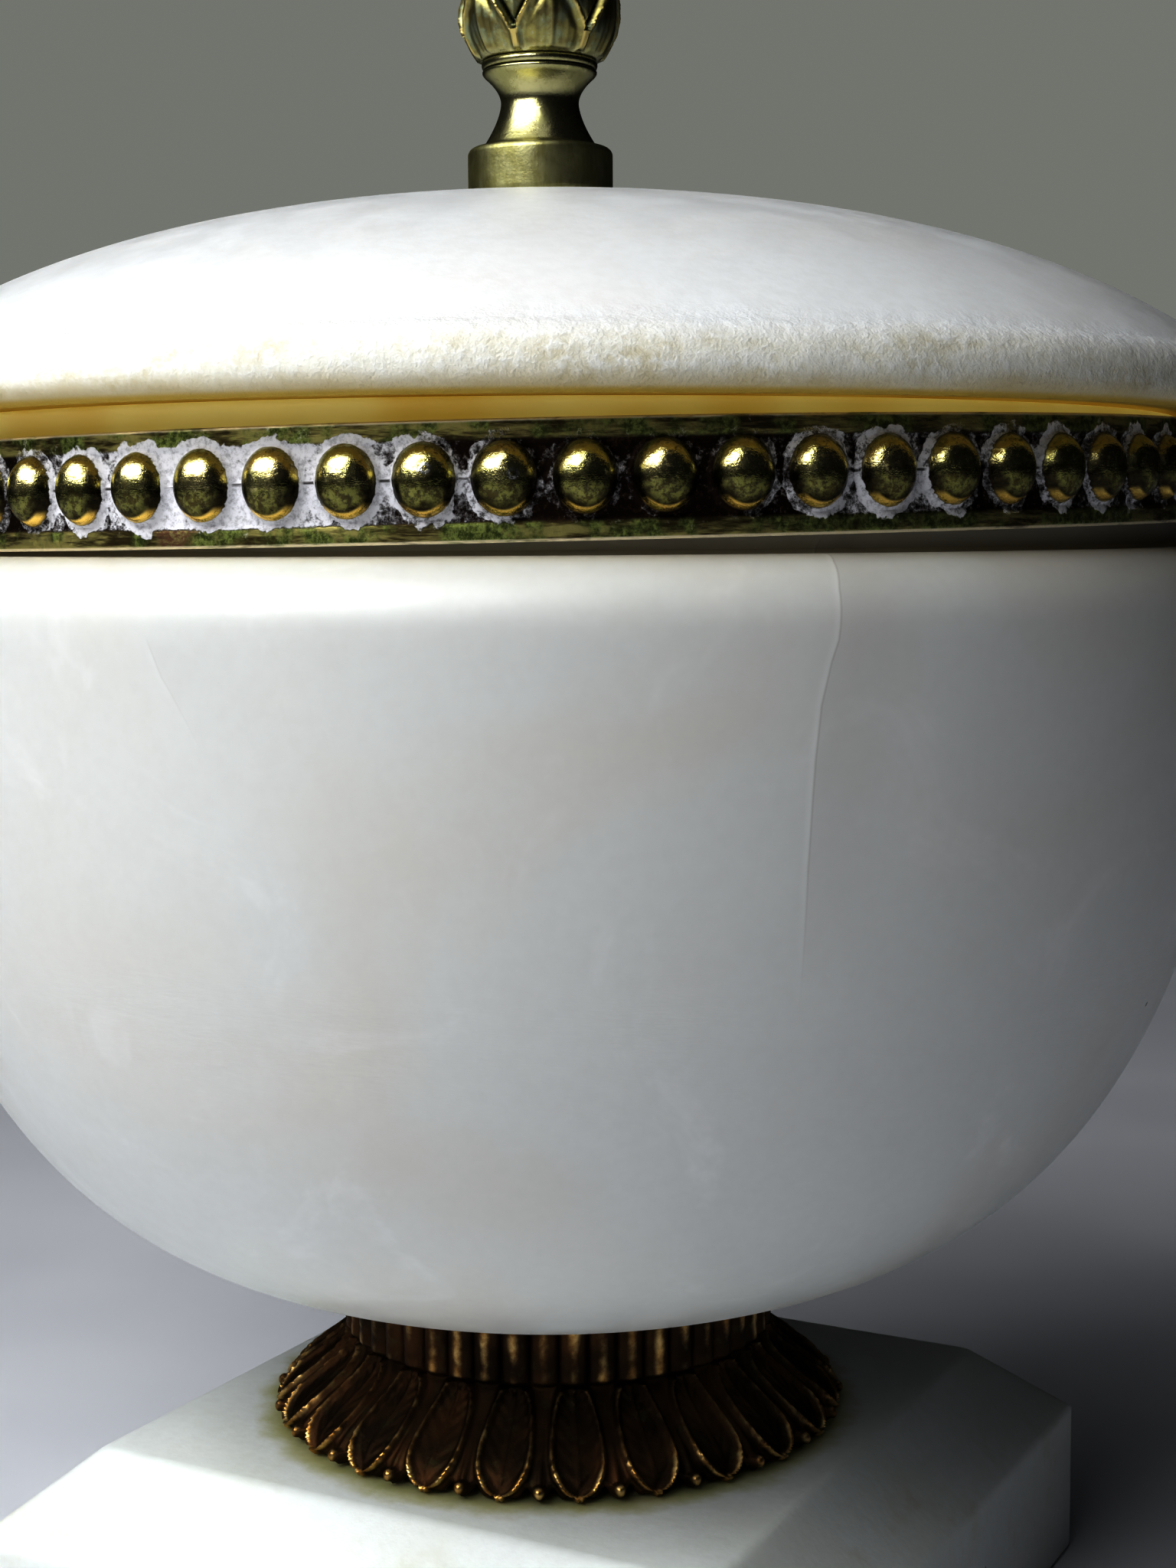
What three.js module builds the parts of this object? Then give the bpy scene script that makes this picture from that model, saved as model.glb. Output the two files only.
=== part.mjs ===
// Alabaster bonbonniere: a lidded stone box with brass mounts on a square stone plinth.
// Millimetres, +Z up. The origin is the centre of the plinth's underside.
// A turn is measured from -Y towards +X, in the plan.

import * as THREE from 'three';
import { mergeVertices } from 'three/addons/utils/BufferGeometryUtils.js';

// Fits
const contactGap = 0.3; // left between two pieces that rest on each other
const bandPlay = 0.5; // spare height that lets the band tilt under the lid
const neckPlay = 1.4; // from the band's inside to the bowl's neck
const mouthPlay = 0.9; // from the lid's flange to the bowl's mouth

// Plinth
const plinthHeight = 25;
const plinthMargin = 4.7; // flat top left outside the foot
const chamferRun = 9.3;
const chamferDrop = 8.2;
const plinthCornerRound = 1.6;
const plinthEdgeRound = 0.6;

// Foot
const footHeight = 15.4;
const leafCount = 24; // with two reeds above each leaf
const reedRadius = 22.7;
const reedDepth = 1.0;
const reedEndHeight = 9.2; // where the reeds stop, above the foot's underside
const reedEndDrop = 0.8;
const skirtFlare = 6.9; // how far the skirt spreads beyond the reeds
const skirtEdgeHeight = 0.35; // thickness of the skirt's lower edge at the leaf tips
const skirtEdgeInset = 1.3;
const leafRise = 0.7;
const leafHollow = 0.25;
const knobRise = 0.5;
const scallopHeight = 1.0;
const footTurn = THREE.MathUtils.degToRad(32.8);

// Bowl
const bowlHeight = 74.6; // from its flat seat to its shoulder
const bowlCurveRadius = 71.2;
const bowlCurveHeight = 108.2; // of the outline's quarter curve, which the shoulder cuts
const bowlCurvePower = 3.12;
const bowlSeatMargin = 1.4; // flat seat left outside the reeds
const bowlWall = 9;
const bowlFloor = 9;
const neckWall = 6;
const shoulderRound = 5.4;

// Beaded band
const beadCount = 66;
const bandHeight = 9.44;
const bandThickness = 0.8;
const bandInset = 5.65; // from the bowl's side in to the strip's face
const beadWidth = 5.1;
const beadHeight = 5.5;
const beadRise = 1.9;
const bandTilt = THREE.MathUtils.degToRad(1.04);
const bandRiseTurn = THREE.MathUtils.degToRad(138.5); // the side where the band rides up
const beadTurn = THREE.MathUtils.degToRad(31.4);

// Lid
const lidInset = 1.05; // from the bowl's side in to the lid's rim
const lidRimHeight = 3.6;
const lidEdgeRound = 1.9;
const lidShoulderCut = 1.1; // blunts the corner between rim and dome
const lidCurveReach = 9.5; // the dome's curve would end this far outside the rim
const lidCurveHeight = 40;
const lidCurvePower = 2.2;
const lidWall = 8;
const lidLip = 0.4; // the rim hangs this far below the seat
const lidLipInset = 3.4;
const flangeDepth = 4.5;
const flangeWall = 5;

// Finial
const finialShift = 0.9;
const finialShiftTurn = THREE.MathUtils.degToRad(-60.8);
const ringRadius = 7.36;
const ringHeight = 5.4;
const ringChamfer = 0.6;
const stemFootInset = 1.6; // from the ring's side in to the stem
const stemFootRise = 0.2;
const waistRadius = 3.94;
const stemLowHeight = 4.3; // ring to waist
const stemHighHeight = 2.8; // waist to collar
const collarRadius = 5.8;
const collarHeight = 1.4;
const collarGroove = 0.3;
const budRadius = 8.1;
const budOverhang = 0.5; // the bud starts this far outside the collar
const budLowHeight = 4.9; // collar to the bud's widest place
const budHighHeight = 8.4; // widest place to the tip
const budLeafCount = 6;
const budLeafRise = 0.35;
const budLeafSink = 0.55;
const budTurn = THREE.MathUtils.degToRad(39);

// Facets
const stoneSides = 40;
const curveSteps = 7;
const innerSteps = 5;
const roundSteps = 3;

// Looks
const stone = new THREE.MeshStandardMaterial({ color: 0xe6e4dd, roughness: 0.38, metalness: 0 });
const plinthStone = new THREE.MeshStandardMaterial({ color: 0xdfe2da, roughness: 0.45, metalness: 0 });
const darkBrass = new THREE.MeshStandardMaterial({ color: 0x4b3723, roughness: 0.5, metalness: 0.9 });
const agedBrass = new THREE.MeshStandardMaterial({ color: 0x6d5f33, roughness: 0.42, metalness: 0.9 });
const paleBrass = new THREE.MeshStandardMaterial({ color: 0x8d8140, roughness: 0.35, metalness: 0.9 });

// Curves that several pieces share

// The other leg of a quarter superellipse, as a share, for one leg's share.
function superShare(share, power) {
  const inside = Math.min(1, Math.max(0, share));
  return Math.pow(1 - Math.pow(inside, power), 1 / power);
}

// Radius of a curve at a drop below its widest level.
function curveRadius(drop, curve) {
  return curve.radius * superShare(drop / curve.height, curve.power);
}

// Rise of a curve above or below its widest level, at a distance from its axis.
function curveRise(distance, curve) {
  return curve.height * superShare(distance / curve.radius, curve.power);
}

function smoothStep(share) {
  return share * share * (3 - 2 * share);
}

function point(radius, height) {
  return new THREE.Vector2(radius, height);
}

// Points of an ellipse about a centre, from one angle to another, both ends included.
function arcPoints(centre, across, up, startDegrees, endDegrees, steps) {
  const points = [];
  for (let step = 0; step <= steps; step += 1) {
    const angle = THREE.MathUtils.degToRad(THREE.MathUtils.lerp(startDegrees, endDegrees, step / steps));
    points.push(point(centre.x + across * Math.cos(angle), centre.y + up * Math.sin(angle)));
  }
  return points;
}

// Spins a profile round the upright axis. A carve function may move each point:
// it gets the column and row and the plain turn, radius and height.
function turned(profile, sides, carve) {
  const geometry = new THREE.LatheGeometry(profile, sides);
  geometry.rotateX(Math.PI / 2);
  if (carve) {
    const position = geometry.getAttribute('position');
    for (let index = 0; index < position.count; index += 1) {
      const column = Math.floor(index / profile.length) % sides;
      const row = index % profile.length;
      const plain = { turn: (column / sides) * 2 * Math.PI, radius: profile[row].x, height: profile[row].y };
      const moved = carve(column, row, plain);
      const across = moved.radius * Math.sin(moved.turn);
      const away = -moved.radius * Math.cos(moved.turn);
      position.setXYZ(index, across, away, moved.height);
    }
  }
  return welded(geometry);
}

// Merges the seam and the poles, and drops the empty triangles left at a pole.
function welded(geometry) {
  geometry.deleteAttribute('normal');
  geometry.deleteAttribute('uv');
  const closed = mergeVertices(geometry, 1e-5);
  const faces = [];
  for (let first = 0; first < closed.index.count; first += 3) {
    const [a, b, c] = [0, 1, 2].map((corner) => closed.index.getX(first + corner));
    if (a !== b && b !== c && c !== a) {
      faces.push(a, b, c);
    }
  }
  closed.setIndex(faces);
  closed.computeVertexNormals();
  return closed;
}

function named(name, geometry, material) {
  const mesh = new THREE.Mesh(geometry, material);
  mesh.name = name;
  return mesh;
}

// Levels and radii that follow from the sizes above
const footBase = plinthHeight + contactGap;
const skirtRadius = reedRadius + skirtFlare;
const plinthTopHalf = skirtRadius + plinthMargin;
const plinthHalf = plinthTopHalf + chamferRun;

const bowlCurve = { radius: bowlCurveRadius, height: bowlCurveHeight, power: bowlCurvePower };
const bowlBase = footBase + footHeight + contactGap;
const bowlSeatRadius = reedRadius + bowlSeatMargin;
const bowlCurveCentre = bowlBase + curveRise(bowlSeatRadius, bowlCurve);
const bowlRim = bowlBase + bowlHeight;
const bowlRimRadius = curveRadius(bowlCurveCentre - bowlRim, bowlCurve);

const bandRadius = bowlRimRadius - bandInset;
const bandLean = bandRadius * Math.sin(bandTilt);
const bandCentre = bowlRim + contactGap + bandLean + bandHeight / 2;

const neckRadius = bandRadius - bandThickness - neckPlay;
const neckTop = bowlRim + 2 * bandLean + bandHeight + bandPlay;
const mouthRadius = neckRadius - neckWall;

const lidSeat = neckTop + contactGap;
const lidEdge = lidSeat - lidLip;
const lidRadius = bowlRimRadius - lidInset;
const lidCurve = { radius: lidRadius + lidCurveReach, height: lidCurveHeight, power: lidCurvePower };
const lidCurveBase = lidEdge + lidRimHeight - curveRise(lidRadius, lidCurve);
const lidTop = lidCurveBase + lidCurveHeight;
const flangeRadius = mouthRadius - mouthPlay;

// The plinth: rounded squares stacked from the underside to the flat top.
function squareRing(half, height) {
  const ring = [];
  for (let corner = 0; corner < 4; corner += 1) {
    const middle = Math.PI / 4 + (corner * Math.PI) / 2;
    for (let step = 0; step < roundSteps; step += 1) {
      const angle = middle + (step / (roundSteps - 1) - 0.5) * (Math.PI / 2);
      const inset = (half - plinthCornerRound) * Math.SQRT2;
      const x = inset * Math.cos(middle) + plinthCornerRound * Math.cos(angle);
      const y = inset * Math.sin(middle) + plinthCornerRound * Math.sin(angle);
      ring.push(new THREE.Vector3(x, y, height));
    }
  }
  return ring;
}

// Joins rings of equally many points, counted anticlockwise from above, and caps both ends.
function stacked(rings) {
  const count = rings[0].length;
  const corners = rings.flat();
  const bottom = corners.push(new THREE.Vector3(0, 0, rings[0][0].z)) - 1;
  const top = corners.push(new THREE.Vector3(0, 0, rings[rings.length - 1][0].z)) - 1;
  const faces = [];
  for (let side = 0; side < count; side += 1) {
    const next = (side + 1) % count;
    faces.push(bottom, next, side);
    const last = (rings.length - 1) * count;
    faces.push(top, last + side, last + next);
    for (let level = 0; level < rings.length - 1; level += 1) {
      const low = level * count;
      const high = low + count;
      faces.push(low + side, low + next, high + next);
      faces.push(low + side, high + next, high + side);
    }
  }
  const geometry = new THREE.BufferGeometry().setFromPoints(corners);
  geometry.setIndex(faces);
  geometry.computeVertexNormals();
  return geometry;
}

function buildPlinth() {
  const edge = plinthEdgeRound;
  const chamferBottom = plinthHeight - chamferDrop;
  const slope = chamferRun / chamferDrop;
  const rings = [
    squareRing(plinthHalf - edge, 0),
    squareRing(plinthHalf, edge),
    squareRing(plinthHalf, chamferBottom - edge),
    squareRing(plinthHalf - edge * slope, chamferBottom + edge),
    squareRing(plinthTopHalf + edge * slope, plinthHeight - edge),
    squareRing(plinthTopHalf - edge, plinthHeight),
  ];
  return named('plinth', stacked(rings), plinthStone);
}

// The foot: six columns for each leaf, which also carry the two reeds above it.
// A place runs across one leaf's room, from 0 at its middle to 1 at the next leaf's middle.
const footColumns = 6;
const skirtRows = 7;

function mirroredPlaces(first, second, third) {
  return [first, second, third, 1 - third, 1 - second, 1 - first];
}

function reedPlaces() {
  const crownHalf = 0.09; // half the flat crown of a reed
  const groove = 0.25;
  return mirroredPlaces(crownHalf, groove, 0.5 - crownHalf);
}

function leafPlaces(along) {
  const widest = 0.36;
  const narrowest = 0.05;
  const start = 0.18; // the leaf leaves the reeds with some width already
  const swell = Math.pow(Math.sin(Math.PI * (start + (1 - start) * along)), 0.7);
  const outline = Math.max(narrowest, widest * swell);
  const dartHalf = 0.06;
  return mirroredPlaces(outline * 0.45, outline, 0.5 - dartHalf);
}

function edgePlaces() {
  const tipHalf = 0.04;
  const notch = 0.22;
  const knobHalf = 0.06;
  return mirroredPlaces(tipHalf, notch, 0.5 - knobHalf);
}

function buildFoot() {
  const skirtTop = reedEndHeight - reedEndDrop;
  const skirtTopRadius = reedRadius - reedDepth / 2;
  const profile = [point(0, 0), point(skirtRadius - skirtEdgeInset, 0)];
  const edgeRow = profile.length;
  for (let row = 0; row < skirtRows; row += 1) {
    const rise = row / (skirtRows - 1);
    const radius = THREE.MathUtils.lerp(skirtTopRadius, skirtRadius, smoothStep(1 - rise));
    profile.push(point(radius, THREE.MathUtils.lerp(skirtEdgeHeight, skirtTop, rise)));
  }
  const reedRow = profile.length;
  profile.push(point(reedRadius, reedEndHeight));
  profile.push(point(reedRadius, footHeight));
  profile.push(point(0, footHeight));

  const room = (2 * Math.PI) / leafCount;
  const knobStart = 0.85; // share of the skirt's length where a dart swells to its knob
  const carve = (column, row, plain) => {
    const leaf = Math.floor(column / footColumns);
    const part = Math.min(column % footColumns, footColumns - 1 - (column % footColumns));
    const along = 1 - (row - edgeRow) / (skirtRows - 1);
    let places = leafPlaces(along);
    let rise = 0;
    if (row < edgeRow || row >= reedRow) {
      places = reedPlaces();
      rise = part === 1 && row >= reedRow ? -reedDepth : 0;
    } else if (part === 2) {
      rise = along > knobStart ? knobRise : -leafHollow;
    } else if (row === edgeRow) {
      rise = part === 0 ? leafRise : -leafHollow;
    } else {
      const swell = smoothStep(Math.min(1, along * 2));
      rise = part === 0 ? leafHollow * swell : leafRise * (0.4 + 0.6 * swell);
    }
    if (row === edgeRow) {
      places = edgePlaces();
    }
    const notched = row === edgeRow && part === 1;
    return {
      turn: footTurn + (leaf + places[column % footColumns]) * room,
      radius: plain.radius > 0 ? plain.radius + rise : 0,
      height: plain.height + (notched ? scallopHeight : 0),
    };
  };
  const mesh = named('foot', turned(profile, leafCount * footColumns, carve), darkBrass);
  mesh.position.z = footBase;
  return mesh;
}

// The bowl: its outline runs up from the seat, over the shoulder to the neck, and down inside.
function buildBowl() {
  const profile = [point(0, bowlBase), point(bowlSeatRadius, bowlBase)];
  const shoulderStart = bowlRim - shoulderRound;
  const outer = (height) => curveRadius(bowlCurveCentre - height, bowlCurve);
  for (let step = 1; step <= curveSteps; step += 1) {
    const share = 1 - Math.cos((step / curveSteps) * (Math.PI / 2));
    const height = bowlBase + (shoulderStart - bowlBase) * share;
    profile.push(point(outer(height), height));
  }
  const sideRadius = outer(shoulderStart);
  const ledgeRadius = sideRadius - shoulderRound;
  const ledge = point(ledgeRadius, shoulderStart);
  profile.push(...arcPoints(ledge, shoulderRound, shoulderRound, 0, 90, roundSteps).slice(1));
  profile.push(point(neckRadius, bowlRim));
  profile.push(point(neckRadius, neckTop));
  profile.push(point(mouthRadius, neckTop));

  const innerFloor = bowlBase + bowlFloor;
  const innerCurve = {
    radius: bowlCurveRadius - bowlWall,
    height: bowlCurveCentre - innerFloor,
    power: bowlCurvePower,
  };
  const inner = (height) => curveRadius(bowlCurveCentre - height, innerCurve);
  const innerTop = bowlRim - bowlWall - shoulderRound;
  const bend = point(mouthRadius, innerTop);
  profile.push(...arcPoints(bend, inner(innerTop) - mouthRadius, shoulderRound, 90, 0, roundSteps - 1));
  for (let step = 1; step < innerSteps; step += 1) {
    const share = 1 - Math.sin((step / innerSteps) * (Math.PI / 2));
    const height = innerFloor + (innerTop - innerFloor) * share;
    profile.push(point(inner(height), height));
  }
  profile.push(point(0, innerFloor));
  return named('bowl', turned(profile, stoneSides), stone);
}

// The beaded band: one cell of strip for each bead, with a six-sided dome in its middle.
function buildBand() {
  const beadSides = 6;
  const corners = [];
  const faces = [];
  const add = (radius, turn, height) => {
    corners.push(new THREE.Vector3(radius * Math.sin(turn), -radius * Math.cos(turn), height));
    return corners.length - 1;
  };
  const pitch = (2 * Math.PI) / beadCount;
  const half = bandHeight / 2;
  const seams = [];
  for (let bead = 0; bead < beadCount; bead += 1) {
    const turn = beadTurn + (bead - 0.5) * pitch;
    seams.push({
      outerLow: add(bandRadius, turn, -half),
      outerHigh: add(bandRadius, turn, half),
      innerLow: add(bandRadius - bandThickness, turn, -half),
      innerHigh: add(bandRadius - bandThickness, turn, half),
    });
  }
  const oval = (centre, size, rise) => {
    const ring = [];
    for (let side = 0; side < beadSides; side += 1) {
      const angle = ((side + 0.5) / beadSides) * 2 * Math.PI;
      const across = (size * beadWidth) / 2 / bandRadius;
      const up = (size * beadHeight) / 2;
      ring.push(add(bandRadius + rise, centre + across * Math.cos(angle), up * Math.sin(angle)));
    }
    return ring;
  };
  for (let bead = 0; bead < beadCount; bead += 1) {
    const left = seams[bead];
    const right = seams[(bead + 1) % beadCount];
    const centre = beadTurn + bead * pitch;
    const base = oval(centre, 1, 0);
    const middle = oval(centre, 0.68, beadRise * 0.74);
    const crown = add(bandRadius + beadRise, centre, 0);
    const frame = [right.outerHigh, left.outerHigh, left.outerLow, right.outerLow];
    const owner = (side) => frame[Math.floor(((side + 1) / beadSides) * frame.length) % frame.length];
    for (let side = 0; side < beadSides; side += 1) {
      const next = (side + 1) % beadSides;
      faces.push(crown, middle[side], middle[next]);
      faces.push(middle[side], base[side], base[next]);
      faces.push(middle[side], base[next], middle[next]);
      faces.push(owner(side), base[next], base[side]);
      if (owner(side) !== owner(next)) {
        faces.push(owner(side), owner(next), base[next]);
      }
    }
    faces.push(left.innerLow, left.innerHigh, right.innerHigh);
    faces.push(left.innerLow, right.innerHigh, right.innerLow);
    faces.push(left.outerHigh, right.outerHigh, right.innerHigh);
    faces.push(left.outerHigh, right.innerHigh, left.innerHigh);
    faces.push(left.innerLow, right.innerLow, right.outerLow);
    faces.push(left.innerLow, right.outerLow, left.outerLow);
  }
  const geometry = new THREE.BufferGeometry().setFromPoints(corners);
  geometry.setIndex(faces);
  geometry.computeVertexNormals();
  const mesh = named('beaded_band', geometry, agedBrass);
  const hinge = new THREE.Vector3(-Math.cos(bandRiseTurn), -Math.sin(bandRiseTurn), 0);
  mesh.quaternion.setFromAxisAngle(hinge, bandTilt);
  mesh.position.z = bandCentre;
  return mesh;
}

// The lid: its outline runs down inside from the hollow's top, round the flange, and up the dome.
function buildLid() {
  const dome = (distance) => lidCurveBase + curveRise(distance, lidCurve);
  const hollowRadius = flangeRadius - flangeWall;
  const profile = [];
  for (let step = 0; step < innerSteps; step += 1) {
    const distance = hollowRadius * (step / (innerSteps - 1));
    profile.push(point(distance, dome(distance) - lidWall));
  }
  profile.push(point(hollowRadius, lidSeat - flangeDepth));
  profile.push(point(flangeRadius, lidSeat - flangeDepth));
  profile.push(point(flangeRadius, lidSeat));
  profile.push(point(lidRadius - lidLipInset, lidSeat));
  profile.push(point(lidRadius - lidLipInset + lidLip, lidEdge));
  const roundCentre = point(lidRadius - lidEdgeRound, lidEdge + lidEdgeRound);
  profile.push(...arcPoints(roundCentre, lidEdgeRound, lidEdgeRound, -90, 0, roundSteps - 1));
  profile.push(point(lidRadius, lidEdge + lidRimHeight - lidShoulderCut));
  for (let step = 0; step <= curveSteps; step += 1) {
    const spread = Math.sin((1 - step / curveSteps) * (Math.PI / 2));
    const distance = (lidRadius - lidShoulderCut) * spread;
    profile.push(point(distance, dome(distance)));
  }
  return named('lid', turned(profile, stoneSides), stone);
}

// The finial: ring, stem and collar are turned, and the bud's columns follow its leaves:
// one column up a leaf's middle, one along each edge and one up the leaf behind.
function buildFinial() {
  const budColumns = 4;
  const stemFoot = ringHeight + stemFootRise;
  const waist = stemFoot + stemLowHeight;
  const collarBase = waist + stemHighHeight;
  const stemFootRadius = ringRadius - stemFootInset;
  const profile = [point(0, 0), point(ringRadius, 0)];
  profile.push(point(ringRadius, ringHeight - ringChamfer));
  profile.push(point(ringRadius - ringChamfer, ringHeight));
  const lowCentre = point(stemFootRadius, waist);
  profile.push(...arcPoints(lowCentre, waistRadius - stemFootRadius, -stemLowHeight, 90, 0, 4));
  const highCentre = point(collarRadius, waist);
  profile.push(...arcPoints(highCentre, waistRadius - collarRadius, stemHighHeight, 0, 90, 3).slice(1));
  profile.push(point(collarRadius, collarBase + collarHeight * 0.4));
  profile.push(point(collarRadius - collarGroove, collarBase + collarHeight * 0.6));
  profile.push(point(collarRadius, collarBase + collarHeight));

  const budRow = profile.length;
  const lowSteps = 4;
  const highSteps = 5;
  const tipDegrees = 78; // where the last ring of points lies, short of the tip at 90
  const budCentre = point(0, collarBase + collarHeight + budLowHeight);
  const startAngle = Math.acos(Math.min(0.95, (collarRadius + budOverhang) / budRadius));
  const startDegrees = THREE.MathUtils.radToDeg(startAngle);
  const lowCurve = budLowHeight / Math.sin(startAngle);
  profile.push(...arcPoints(budCentre, budRadius, lowCurve, -startDegrees, 0, lowSteps));
  profile.push(...arcPoints(budCentre, budRadius, budHighHeight, 0, tipDegrees, highSteps).slice(1));
  const topRow = profile.length;
  profile.push(point(0, budCentre.y + budHighHeight));

  const room = (2 * Math.PI) / budLeafCount;
  const leafTipRow = budRow + lowSteps + 2;
  const widest = 0.36; // half a leaf's width at its foot, as a share of its room
  const narrowest = 0.06;
  const even = 1 / budColumns;
  const carve = (column, row, plain) => {
    const leaf = Math.floor(column / budColumns);
    const part = column % budColumns;
    const onBud = row >= budRow && row < topRow;
    const aboveLeaf = row > leafTipRow;
    const along = (row - budRow) / (leafTipRow - budRow);
    const half = onBud && !aboveLeaf ? THREE.MathUtils.lerp(widest, narrowest, along) : even;
    const middleRise = aboveLeaf ? -budLeafSink : 0;
    const edgeRise = aboveLeaf ? -budLeafSink : budLeafRise;
    const behindRise = aboveLeaf ? budLeafRise : -budLeafSink;
    const rise = [middleRise, edgeRise, behindRise, edgeRise][part] * (plain.radius / budRadius);
    return {
      turn: budTurn + (leaf + [0, half, 0.5, 1 - half][part]) * room,
      radius: plain.radius + (onBud ? rise : 0),
      height: plain.height,
    };
  };
  const mesh = named('finial', turned(profile, budLeafCount * budColumns, carve), paleBrass);
  const across = finialShift * Math.sin(finialShiftTurn);
  const away = -finialShift * Math.cos(finialShiftTurn);
  mesh.position.set(across, away, lidTop + contactGap);
  return mesh;
}

const bonbonniere = new THREE.Group();
bonbonniere.add(buildPlinth(), buildFoot(), buildBowl(), buildBand(), buildLid(), buildFinial());

export default bonbonniere;
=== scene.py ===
# Alabaster bonbonniere with brass mounts on its square plinth: the dressed model.
# Shapes are worked out in millimetres and brought to metres when a piece is done.
# A turn is measured from -Y towards +X in the plan, as on the solids.

import math

import bmesh
import bpy
from mathutils import Matrix, Vector, noise


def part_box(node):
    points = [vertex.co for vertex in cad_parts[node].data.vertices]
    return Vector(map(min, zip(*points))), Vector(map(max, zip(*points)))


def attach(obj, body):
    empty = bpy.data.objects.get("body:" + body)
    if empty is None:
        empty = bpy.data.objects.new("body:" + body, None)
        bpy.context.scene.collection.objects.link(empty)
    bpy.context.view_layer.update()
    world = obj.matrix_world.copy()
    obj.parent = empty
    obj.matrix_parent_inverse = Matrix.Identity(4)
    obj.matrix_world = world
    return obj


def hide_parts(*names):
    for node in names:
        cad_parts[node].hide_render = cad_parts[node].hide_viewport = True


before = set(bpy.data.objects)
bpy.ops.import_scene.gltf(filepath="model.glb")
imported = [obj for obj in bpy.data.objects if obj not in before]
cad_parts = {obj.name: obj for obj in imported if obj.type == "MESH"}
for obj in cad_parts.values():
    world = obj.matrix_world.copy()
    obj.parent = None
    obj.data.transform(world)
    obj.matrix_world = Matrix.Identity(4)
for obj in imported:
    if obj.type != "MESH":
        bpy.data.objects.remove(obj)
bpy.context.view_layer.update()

MM = 0.001
FULL = 2 * math.pi


def node_box(node):
    """Lowest and highest corner of a solid, in millimetres."""
    low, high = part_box(node)
    return low / MM, high / MM


plinth_low, plinth_high = node_box("plinth")
foot_low, foot_high = node_box("foot")
bowl_low, bowl_high = node_box("bowl")
band_low, band_high = node_box("beaded_band")
lid_low, lid_high = node_box("lid")
finial_low, finial_high = node_box("finial")

# Plinth sizes
PLINTH_CHAMFER_RUN = 9.3
PLINTH_CHAMFER_DROP = 8.2
PLINTH_CORNER_ROUND = 0.96
PLINTH_EDGE_ROUND = 0.6

# Foot sizes
LEAF_COUNT = 24
REED_RADIUS = 22.7
REED_DEPTH = 1.0
REED_END = 9.2  # where the reeds stop, above the foot's underside
SKIRT_TOP = 8.4
SKIRT_FLARE = 6.9
SKIRT_EDGE = 0.35
SKIRT_EDGE_INSET = 1.3
FOOT_TURN = math.radians(32.8)

# Relief of the skirt: widths and rises in millimetres, places as shares of its length
LEAF_WIDEST = 0.55
LEAF_TIP = 0.985
LEAF_HALF_WIDTH = 0.36  # share of the room between leaves
LEAF_TAPER = 0.42
LEAF_END_POWER = 1.85
LEAF_SINK = 0.25
RIDGE_RISE = 0.55
RIDGE_WIDTH = 0.46
MIDRIB_RISE = 0.28
MIDRIB_WIDTH = 0.2
VEIN_RISE = 0.1
GAP_SINK = 0.45
DART_RISE = 0.5
DART_WIDTH = 0.3
KNOB_RADIUS = 0.62
KNOB_RISE = 0.75
KNOB_PLACE = 0.93
SCALLOP_RISE = 0.9
SCALLOP_PLACE = 0.33
REED_POWER = 1.8
REED_PINCH = 0.07
REED_PINCH_HEIGHT = 10.6

# Bowl sizes
BOWL_CURVE_RADIUS = 71.2
BOWL_CURVE_HEIGHT = 108.2
BOWL_CURVE_POWER = 3.12
BOWL_HEIGHT = 74.6
BOWL_SEAT_MARGIN = 1.4
BOWL_WALL = 9.0
BOWL_FLOOR = 9.0
NECK_WALL = 6.0
SHOULDER_ROUND = 5.4

# Band sizes
BEAD_COUNT = 66
BAND_HEIGHT = 9.44
BAND_THICKNESS = 0.8
BAND_INSET = 5.65
BEAD_HALF_WIDTH = 2.5
BEAD_HALF_HEIGHT = 2.9
BEAD_RISE = 1.9
BEAD_DOME_POWER = 0.56
BEAD_LIFT = 0.2  # the beads sit a little above the strip's middle
GROUND_SINK = 0.22
GROUND_HALF_HEIGHT = 3.25
BAND_TILT = math.radians(1.04)
BAND_RISE_TURN = math.radians(138.5)
BEAD_TURN = math.radians(31.4)
NECK_PLAY = 1.4

# Lid sizes
LID_INSET = 1.05
LID_RIM_HEIGHT = 3.6
LID_CURVE_REACH = 9.5
LID_CURVE_HEIGHT = 40.0
LID_CURVE_POWER = 2.2
LID_WALL = 8.0
LID_LIP = 0.4
LID_LIP_INSET = 3.4
FLANGE_DEPTH = 4.5
FLANGE_WALL = 5.0
MOUTH_PLAY = 0.9

# Finial sizes
RING_RADIUS = 7.36
RING_HEIGHT = 5.4
STEM_FOOT_RADIUS = 5.76
STEM_FOOT_HEIGHT = 5.6
WAIST_RADIUS = 3.94
WAIST_HEIGHT = 9.9
STEM_FLARE_POWER = 1.6
COLLAR_FLARE_POWER = 1.9
COLLAR_RADIUS = 5.8
COLLAR_LOW = 12.7
COLLAR_HIGH = 14.1
BUD_RADIUS = 8.1
BUD_WIDEST = 19.0
BUD_LEAF_COUNT = 6
BUD_RIB_RATE = 7.5  # radians a millimetre across a leaf
BUD_TURN = math.radians(39)

# Camera, found from the beads, leaves and outlines
CAMERA_TURN = math.radians(29.16)
CAMERA_DISTANCE = 248.9
CAMERA_HEIGHT = 117.81
CAMERA_YAW = 0.0142
CAMERA_PITCH = 0.1072
CAMERA_ROLL = 0.0065
CAMERA_LENS = 54.92

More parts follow.
